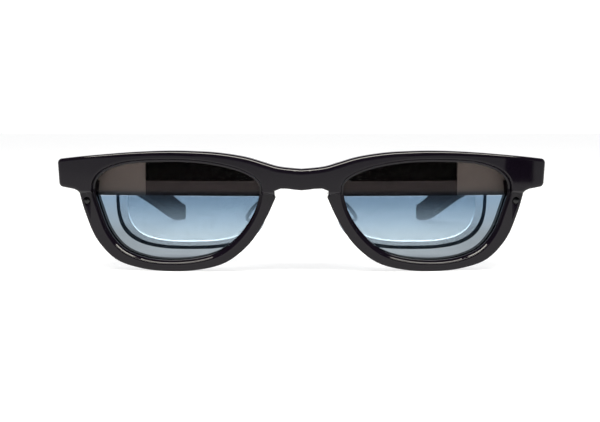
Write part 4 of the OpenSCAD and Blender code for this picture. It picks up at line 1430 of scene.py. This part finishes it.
@dataclass
class NoseWire:
    """The sprung wire that carries the nose pads: a flat tab in the bridge, two bent arms and a button on each."""

    wire_r: float = 0.6
    tab: tuple = (3.0, 12.0, 15.7, 24.55, 26.0)
    tab_edge: float = 0.3
    button_r: float = 2.4
    button_u: Point = (2.44, 3.0)
    button_edge: float = 0.15
    around: int = 14
    bends: tuple = ((2.2, 14.7, 25.25), (8.8, 21.0, 24.45), (9.4, 23.1, 21.9), (11.6, 24.0, 20.05), (15.2, 25.0, 17.65))

    def tube(self, bm: BMesh, path: Sequence[Sequence[float]]) -> None:
        """A round wire along a path.

        Args:
            bm: The mesh that it goes into.
            path: The points of its middle line.
        """
        points = [Vector(p) for p in path]
        side = Vector((0, 0, 1))
        loops = []
        for i, p in enumerate(points):
            ahead = (points[min(i + 1, len(points) - 1)] - points[max(i - 1, 0)]).normalized()
            side = (side - ahead * side.dot(ahead)).normalized()
            other = ahead.cross(side)
            loops.append([p + side * x + other * y for x, y in circle((0, 0), self.wire_r, self.around)])
        cap(bm, *join_rings(bm, loops))

    def arm(self, bm: BMesh) -> None:
        """The left arm, with the button that its pad sits on.

        Args:
            bm: The mesh that it goes into.
        """
        self.tube(bm, open_curve([*self.bends, NOSE.place(5.0, 0, 0), NOSE.place(2.8, 0, 0)], 6))
        (low, high), edge = self.button_u, self.button_edge
        flat = circle((0, 0), self.button_r, 36)
        section = ((0, low), (0, high - edge), (edge, high))
        rings = [[NOSE.place(u, v, w) for v, w in drawn_in(flat, e)] for e, u in section]
        cap(bm, *join_rings(bm, rings))

    def build(self, material: Material) -> Piece:
        """The whole bracket.

        Args:
            material: Its material.

        Returns:
            The piece.
        """
        bm = bmesh.new()
        self.arm(bm)
        other = bm.copy()
        mirrored(other)
        spare = bpy.data.meshes.new("other_arm")
        other.to_mesh(spare)
        other.free()
        bm.from_mesh(spare)
        bpy.data.meshes.remove(spare)
        half, y0, y1, z0, z1 = self.tab
        edge = rounding(self.tab_edge, 3)
        near = [(e, y0 + y) for e, y in edge]
        far = [(e, y1 - y) for e, y in reversed(edge)]
        plate(bm, [(-half, z0), (half, z0), (half, z1), (-half, z1)], near + far)
        return finish_piece(bm, "nose_wire", [material], stands_for=["nose_bracket"], slot="spring_wire")


# Finishes


FINISHES = {
    # Black nylon, injection moulded in a polished tool: an even gloss with faint flow in it. Its IOR is below
    # that of nylon, to match how weakly the real one mirrors the room
    "gloss_nylon": Finish("gloss_moulded_nylon", "#0c0810", "#0f0b13", 0.03, 0.06, 0.35, 0.0003, ior=1.31),
    # Black display window: hard coated smoked plastic with an antireflection layer, deep and even. It is also painted
    # shade on the ledge at the window's foot
    "window_black": Finish("display_window_and_painted_shade", "#010102", "#020203", 0.12, 0.2, 0.5, 0.0004, ior=1.12),
    # Grey on the fascia's end panels, satin with a fine orange peel: a painted reflection of the room in the lens
    # before them
    "panel_grey_painted_reflection": Finish("satin_end_panel_painted_reflection", "#6f6d6b", "#7a7875", 0.4, 0.5, 0.25, 0.004),
    # The temples' casing: the same plastic as the rear frame, from a slightly smoother tool
    "satin_temple": Finish("satin_moulded_temple", "#151517", "#1b1b1d", 0.26, 0.36, 0.25, 0.004),
    # The covers on the temples' inner faces: a finer, duller grain
    "satin_cover": Finish("fine_grained_cover", "#1a1a1c", "#202023", 0.4, 0.52, 0.18, 0.006),
    # Keys, moulded in black and polished by use
    "key_black": Finish("moulded_key_polycarbonate", "#121214", "#19191c", 0.2, 0.3, 0.3, 0.002),
    # Display panels: silicon under thin glass, dark violet
    "panel_glass": Finish("display_panel_glass", "#1c1626", "#241c30", 0.08, 0.14, 0.6, 0.0003, coat=0.6),
    # Camera barrels, black anodised
    "camera_black": Finish("black_anodised_barrel", "#0d0d0f", "#151517", 0.3, 0.45, 0.12, 0.002, Grain.DRAWN_BACK),
    # Windows of the cameras and of the proximity sensor: polished, nearly black plastic
    "camera_gloss": Finish("polished_smoked_window", "#030406", "#06070a", 0.03, 0.06, 0.6, 0.0002, ior=1.4),
    # Tinned steel of the key switches
    "switch_plate": Finish("tinned_switch_plate", "#b0b2b6", "#9b9da2", 0.3, 0.45, 0.15, 0.002, metallic=1.0),
    # Nickel plated steel of the port's shell
    "port_plate": Finish("nickel_plated_shell", "#b9b6ae", "#a5a29b", 0.2, 0.32, 0.08, 0.001, metallic=1.0),
    # Sheath of the inner cable
    "cable_sheath": Finish("extruded_cable_sheath", "#19191b", "#222225", 0.38, 0.5, 0.2, 0.004),
    # Black polycarbonate from a fine spark-eroded tool: a soft satin with an even grain
    "satin_polycarbonate": Finish("satin_moulded_polycarbonate", "#1b171c", "#201b21", 0.34, 0.46, 0.22, 0.006),
    # Black glass-filled nylon inside the optics: dead matt
    "matt_nylon": Finish("matt_glass_filled_nylon", "#0b0b0c", "#131315", 0.55, 0.7, 0.3, 0.008, specular=0.3),
    # Thermoplastic rubber: matt, slightly warm, with a skin like fine leather
    "tip_rubber": Finish("moulded_rubber", "#1d1d20", "#26262a", 0.5, 0.66, 0.3, 0.01, specular=0.4),
    # Clear silicone, slightly clouded
    "pad_silicone": Finish(
        "clear_moulded_silicone", "#dfe3e6", "#eceff1", 0.3, 0.4, 0.5, 0.003, ior=1.41, transmission=0.85
    ),
    # Stainless steel, brushed along its length
    "brushed_steel": Finish(
        "brushed_stainless_steel", "#b9bbbf", "#9fa2a8", 0.22, 0.42, 0.06, 0.002, Grain.DRAWN_BACK, metallic=1.0
    ),
    # Turned and plated steel of pins and screws
    "turned_steel": Finish(
        "turned_plated_steel", "#c6c8cc", "#aeb1b6", 0.18, 0.32, 0.05, 0.0015, Grain.BRUSHED_UP, metallic=1.0
    ),
    # Drawn spring wire of the nose piece: pale and satin, made only partly metallic so that it stays light
    "spring_wire": Finish("drawn_spring_steel", "#dfe3e8", "#ccd1d7", 0.25, 0.4, 0.08, 0.001, metallic=0.35),
    # Die-cast magnesium of the alignment beam
    "cast_magnesium": Finish("die_cast_magnesium", "#8a8d92", "#75787d", 0.4, 0.6, 0.25, 0.01, metallic=1.0),
    # Epoxy glass laminate under green solder mask
    "solder_mask": Finish("green_solder_mask", "#1f4a2b", "#173c22", 0.28, 0.4, 0.4, 0.006),
    # Ground glass edge under slate grey ink
    "inked_edge": Finish("ink_painted_glass_edge", "#8795a2", "#97a4b0", 0.4, 0.6, 0.3, 0.004),
    # Woven steel speaker mesh with a black coating
    "coated_mesh": Finish("black_coated_wire_mesh", "#121214", "#1c1c1f", 0.5, 0.7, 0.12, 0.03),
    # Liquid crystal polymer of the speaker, the port and its tongue
    "port_polymer": Finish("liquid_crystal_polymer", "#1b1b1e", "#232327", 0.4, 0.55, 0.3, 0.004),
}


@dataclass(frozen=True)
class Glass:
    """A clear or tinted glass whose tint changes with height, with a painted glow low down, an emission though it is no
    lamp.
    """

    name: str
    tints: tuple[tuple[float, str], ...]
    roughness: float = 0.0
    ior: float = 1.5
    painted_glow: float = 0.0
    painted_glow_reach: Point = (8.0, 21.0)
    painted_glow_colour: str = "#fffdf8"
    reach: float = 40.0

    def build(self) -> Material:
        """The material: its tints are read by height above the table, in millimetres.

        Returns:
            The material.
        """
        material, tree = blank(self.name)
        where = add(tree, "ShaderNodeTexCoord").outputs["Object"]
        height = add(tree, "ShaderNodeSeparateXYZ", {"Vector": where}).outputs[2]
        share = ranged(tree, height, (0.0, self.reach * MM), (0.0, 1.0))
        ramp = add(tree, "ShaderNodeValToRGB", {"Fac": share})
        stops = ramp.color_ramp.elements
        while len(stops) < len(self.tints):
            stops.new(0.5)
        while len(stops) > len(self.tints):
            stops.remove(stops[-1])
        for stop, (z, code) in zip(stops, self.tints):
            stop.position = z / self.reach
            stop.color = linear(code)
        # Painted glow: an emission, strongest low down and gone above its reach
        low, high = (z * MM for z in self.painted_glow_reach)
        fade = ranged(tree, height, (low, high), (self.painted_glow, 0.0), smooth=True)
        shader = add(
            tree,
            "ShaderNodeBsdfPrincipled",
            {
                "Base Color": ramp.outputs[0],
                "Roughness": self.roughness,
                "IOR": self.ior,
                "Transmission Weight": 1.0,
                "Emission Color": linear(self.painted_glow_colour),
                "Emission Strength": fade,
            },
        )
        add(tree, "ShaderNodeOutputMaterial", {"Surface": shader.outputs[0]})
        return material


GLASSES = {
    # Optical polycarbonate with a vacuum coated tint: blue, fading downwards; pale and warm over the fascia, a painted
    # reflection of the room in the lens there. A low IOR stands for its antireflection coating and keeps what is
    # behind it in place
    "tinted_lens_and_painted_reflection": Glass(
        "fading_blue_lens_with_painted_reflection",
        ((2.0, "#828990"), (11.0, "#818b93"), (22.3, "#798fa4"), (24.2, "#e6dedc")),
        ior=1.05,
    ),
    # Half mirror coating on moulded optical plastic: a slight grey veil
    "mirror": Glass("half_mirror_coated_plastic", ((4.0, "#eaf0f4"), (31.0, "#dfe8ef")), ior=1.3),
    # Polarising splitter plate: nearly clear, with a painted glow low down that brightens the optics there
    "splitter": Glass("coated_splitter_glass_painted_glow", ((8.0, "#f6f8f9"), (25.0, "#eef2f5")), ior=1.25, painted_glow=0.75),
    # Projection lens: clear moulded plastic
    "projection": Glass("moulded_projection_lens", ((8.0, "#eef3f6"), (30.0, "#f4f7f9")), roughness=0.02),
    # Polished edges of the splitter, with a strong painted glow that draws them as bright lines
    "bright_edge": Glass("polished_plate_edge", ((8.0, "#f4f9fb"), (25.0, "#e9f1f4")), roughness=0.12, painted_glow=2.0),
}


# The studio


SENSOR = 36.0  # the width of the camera's sensor, in millimetres
# Dark cards that only reflections see: name, size and place in metres, and turn about z in degrees
CARDS = (
    ("black_card", (0.04, 0.14), (0.292, -0.42, 0.07), 33),
    ("left_brow_card", (0.16, 0.3), (-0.235, -0.518, 0.17), -28),
    ("right_brow_card", (0.16, 0.3), (0.235, -0.518, 0.17), 28),
)


@dataclass
class Studio:
    """A white light table with soft light behind it, a dim room in front and dark cards for the gloss to reflect."""

    distance: float = 280.0
    eye_height: float = 45.45
    eye_x: float = -0.44
    tilt: float = 5.48
    focal: float = 948.0 / 600.0 * SENSOR
    front_light: float = 0.7
    back_light: float = 1.3
    high_light: float = 0.04
    front_fade: Point = (0.03, 0.4)
    back_fade: Point = (0.5, 0.85)
    behind: Point = (-0.1, 0.3)
    table_glow: float = 0.77
    strip_power: float = 10.0
    strip_colour: tuple[float, float, float] = (1.0, 0.97, 0.88)

    def camera(self) -> None:
        """The camera at the photograph's place and angle."""
        data = bpy.data.cameras.new("camera")
        data.sensor_width = SENSOR
        data.sensor_fit = "HORIZONTAL"
        data.lens = self.focal
        data.clip_start, data.clip_end = 0.01, 20.0
        camera = in_scene("camera", data)
        camera.location = (self.eye_x * MM, -(self.distance + HALF_DEPTH) * MM, self.eye_height * MM)
        camera.rotation_euler = (math.radians(90 - self.tilt), 0, 0)
        bpy.context.scene.camera = camera

    def room(self) -> None:
        """The light from all round: white behind, and in front bright near the table and dim above."""
        world = bpy.data.worlds.new("studio")
        world.use_nodes = True
        tree = world.node_tree
        tree.nodes.clear()
        way = add(tree, "ShaderNodeTexCoord").outputs["Generated"]
        parts = add(tree, "ShaderNodeSeparateXYZ", {"Vector": way}).outputs
        levels = [
            ranged(tree, parts[2], (low, high), (bright, self.high_light), smooth=True)
            for (low, high), bright in ((self.front_fade, self.front_light), (self.back_fade, self.back_light))
        ]
        behind = ranged(tree, parts[1], self.behind, (0.0, 1.0), smooth=True)
        level = add(tree, "ShaderNodeMix", {0: behind, 2: levels[0], 3: levels[1]})
        light = add(tree, "ShaderNodeBackground", {"Color": (1.0, 1.0, 1.0, 1.0), "Strength": level.outputs[0]})
        add(tree, "ShaderNodeOutputWorld", {"Surface": light.outputs[0]})
        bpy.context.scene.world = world

    def light(self, name: str, place: Sequence[float], aim: Sequence[float], size: Point, power: float) -> None:
        """One soft rectangular light.

        Args:
            name: Its name.
            place: Where it stands, in metres.
            aim: The point that it looks at, in metres.
            size: Its width and height, in metres.
            power: Its power, in watts.
        """
        data = bpy.data.lights.new(name, "AREA")
        data.shape = "RECTANGLE"
        data.size, data.size_y = size
        data.energy = power
        data.color = self.strip_colour
        lamp = in_scene(name, data)
        lamp.location = place
        lamp.rotation_euler = (Vector(aim) - Vector(place)).to_track_quat("-Z", "Y").to_euler()

    def sheet(
        self,
        name: str,
        size: Point,
        place: Sequence[float],
        turn: Sequence[float],
        material: Material,
        seen: bool = True,
    ) -> None:
        """A flat sheet of the studio, lying unless it is turned.

        Args:
            name: Its name.
            size: Its width and length, in metres.
            place: Its middle, in metres.
            turn: Its turns about x, y and z, in degrees.
            material: What it is made of.
            seen: Whether the camera sees it, or only reflections do.
        """
        bm = bmesh.new()
        bmesh.ops.create_grid(bm, x_segments=8, y_segments=8, size=0.5)
        bmesh.ops.scale(bm, vec=(*size, 1.0), verts=bm.verts)
        sheet = mesh_object(bm, name, [material])
        sheet.location = place
        sheet.rotation_euler = [math.radians(a) for a in turn]
        sheet.visible_camera = seen

    def build(self) -> None:
        """Sets up the whole studio."""
        bpy.context.scene.view_settings.view_transform = "Standard"
        self.room()
        # Opal acrylic sheet, softly lit from below
        opal = Finish(
            "opal_acrylic_table", "#9c9d9f", "#a2a3a5", 0.7, 0.9, 0.5, 0.01, emission="#ffffff", glow=self.table_glow
        )
        self.sheet("floor", (6.0, 6.0), (0, 0, 0), (0, 0, 0), opal.build())
        # Matt black flocked card
        black = Finish("black_flock", "#020202", "#030303", 0.9, 1.0, 0.5, 0.01, specular=0.0).build()
        for name, size, place, turn in CARDS:
            self.sheet(name, size, place, (90, 0, turn), black, seen=False)
        self.light("strip_above", (0.0, -0.2, 0.6), (0.0, -0.07, 0.0), (0.8, 0.16), self.strip_power)
        self.camera()


# Assembly


# What each CAD node that stays is made of: the finish, and how wide its edges are broken, in millimetres
DRESS = {
    "engine_housing": ("matt_nylon", 0.2),
    "display_panel": ("panel_glass", 0.08),
    "display_board": ("solder_mask", 0.05),
    "projection_lens": ("projection", 0.0),
    "alignment_beam": ("cast_magnesium", 0.12),
    "bridge_board": ("solder_mask", 0.05),
    "proximity_window": ("camera_gloss", 0.0),
    "tracking_camera": ("camera_black", 0.0),
    "front_leaf": ("brushed_steel", 0.1),
    "temple_leaf": ("brushed_steel", 0.1),
    "hinge_pin": ("turned_steel", 0.06),
    "front_leaf_screws": ("turned_steel", 0.05),
    "temple_screws": ("turned_steel", 0.05),
    "tip_core": ("spring_wire", 0.0),
    "speaker": ("port_polymer", 0.15),
    "main_board": ("solder_mask", 0.05),
    "port_board": ("solder_mask", 0.05),
    "key_switches": ("switch_plate", 0.08),
    "brightness_rocker": ("key_black", 0.18),
    "mode_button": ("key_black", 0.18),
    "power_button": ("key_black", 0.18),
    "rocker_pin": ("turned_steel", 0.0),
    "port_shell": ("port_plate", 0.08),
    "port_tongue": ("port_polymer", 0.06),
    "port_cable": ("cable_sheath", 0.0),
}


def dress(node: str, material: Material, edge: float) -> None:
    """Gives a CAD node that stays its material, and breaks its edges.

    Args:
        node: The node's name.
        material: Its material.
        edge: The width of the broken edges, in millimetres, or 0 to leave them.
    """
    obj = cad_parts[node]
    if not obj.data.materials:
        obj.data.materials.append(material)
    for i in range(len(obj.data.materials)):
        obj.data.materials[i] = material
    if edge:
        weld = obj.modifiers.new("weld", "WELD")
        weld.merge_threshold = 2e-6
        bevel = obj.modifiers.new("broken_edges", "BEVEL")
        bevel.width = edge * MM
        bevel.segments = 2
        bevel.limit_method = "ANGLE"
        bevel.angle_limit = BROKEN_ABOVE
        bevel.use_clamp_overlap = True


def main() -> None:
    """Builds every class in order and reports each piece."""
    logging.basicConfig(level=logging.INFO, format="%(name)s: %(message)s")
    Studio().build()
    skin = {name: finish.build() for name, finish in FINISHES.items()}
    skin |= {name: g.build() for name, g in GLASSES.items()}
    FrontFrame().build(skin["gloss_nylon"])
    RearFrame().build(skin["satin_polycarbonate"], skin["window_black"], skin["panel_grey_painted_reflection"])
    NoseWire().build(skin["spring_wire"])
    for side in Side:
        FrontLens(side).build(skin["tinted_lens_and_painted_reflection"])
        CurvedMirror(side).build(skin["mirror"], skin["inked_edge"])
        BeamSplitter(side).build(skin["splitter"], skin["bright_edge"])
        CameraWindow(side).build(skin["camera_gloss"])
        NosePad(side).build(skin["pad_silicone"])
        TempleCasing(side).build(skin["satin_temple"], skin["coated_mesh"])
        TempleCover(side).build(skin["satin_cover"])
        EarTip(side).build(skin["tip_rubber"], skin["port_polymer"])
    for node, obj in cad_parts.items():
        if not obj.hide_render:
            finish, edge = DRESS[node.removeprefix("right_").removeprefix("left_")]
            dress(node, skin[finish], edge)
            LOG.info("%s: stays, in %s", node, finish)


if __name__ == "__main__":
    main()
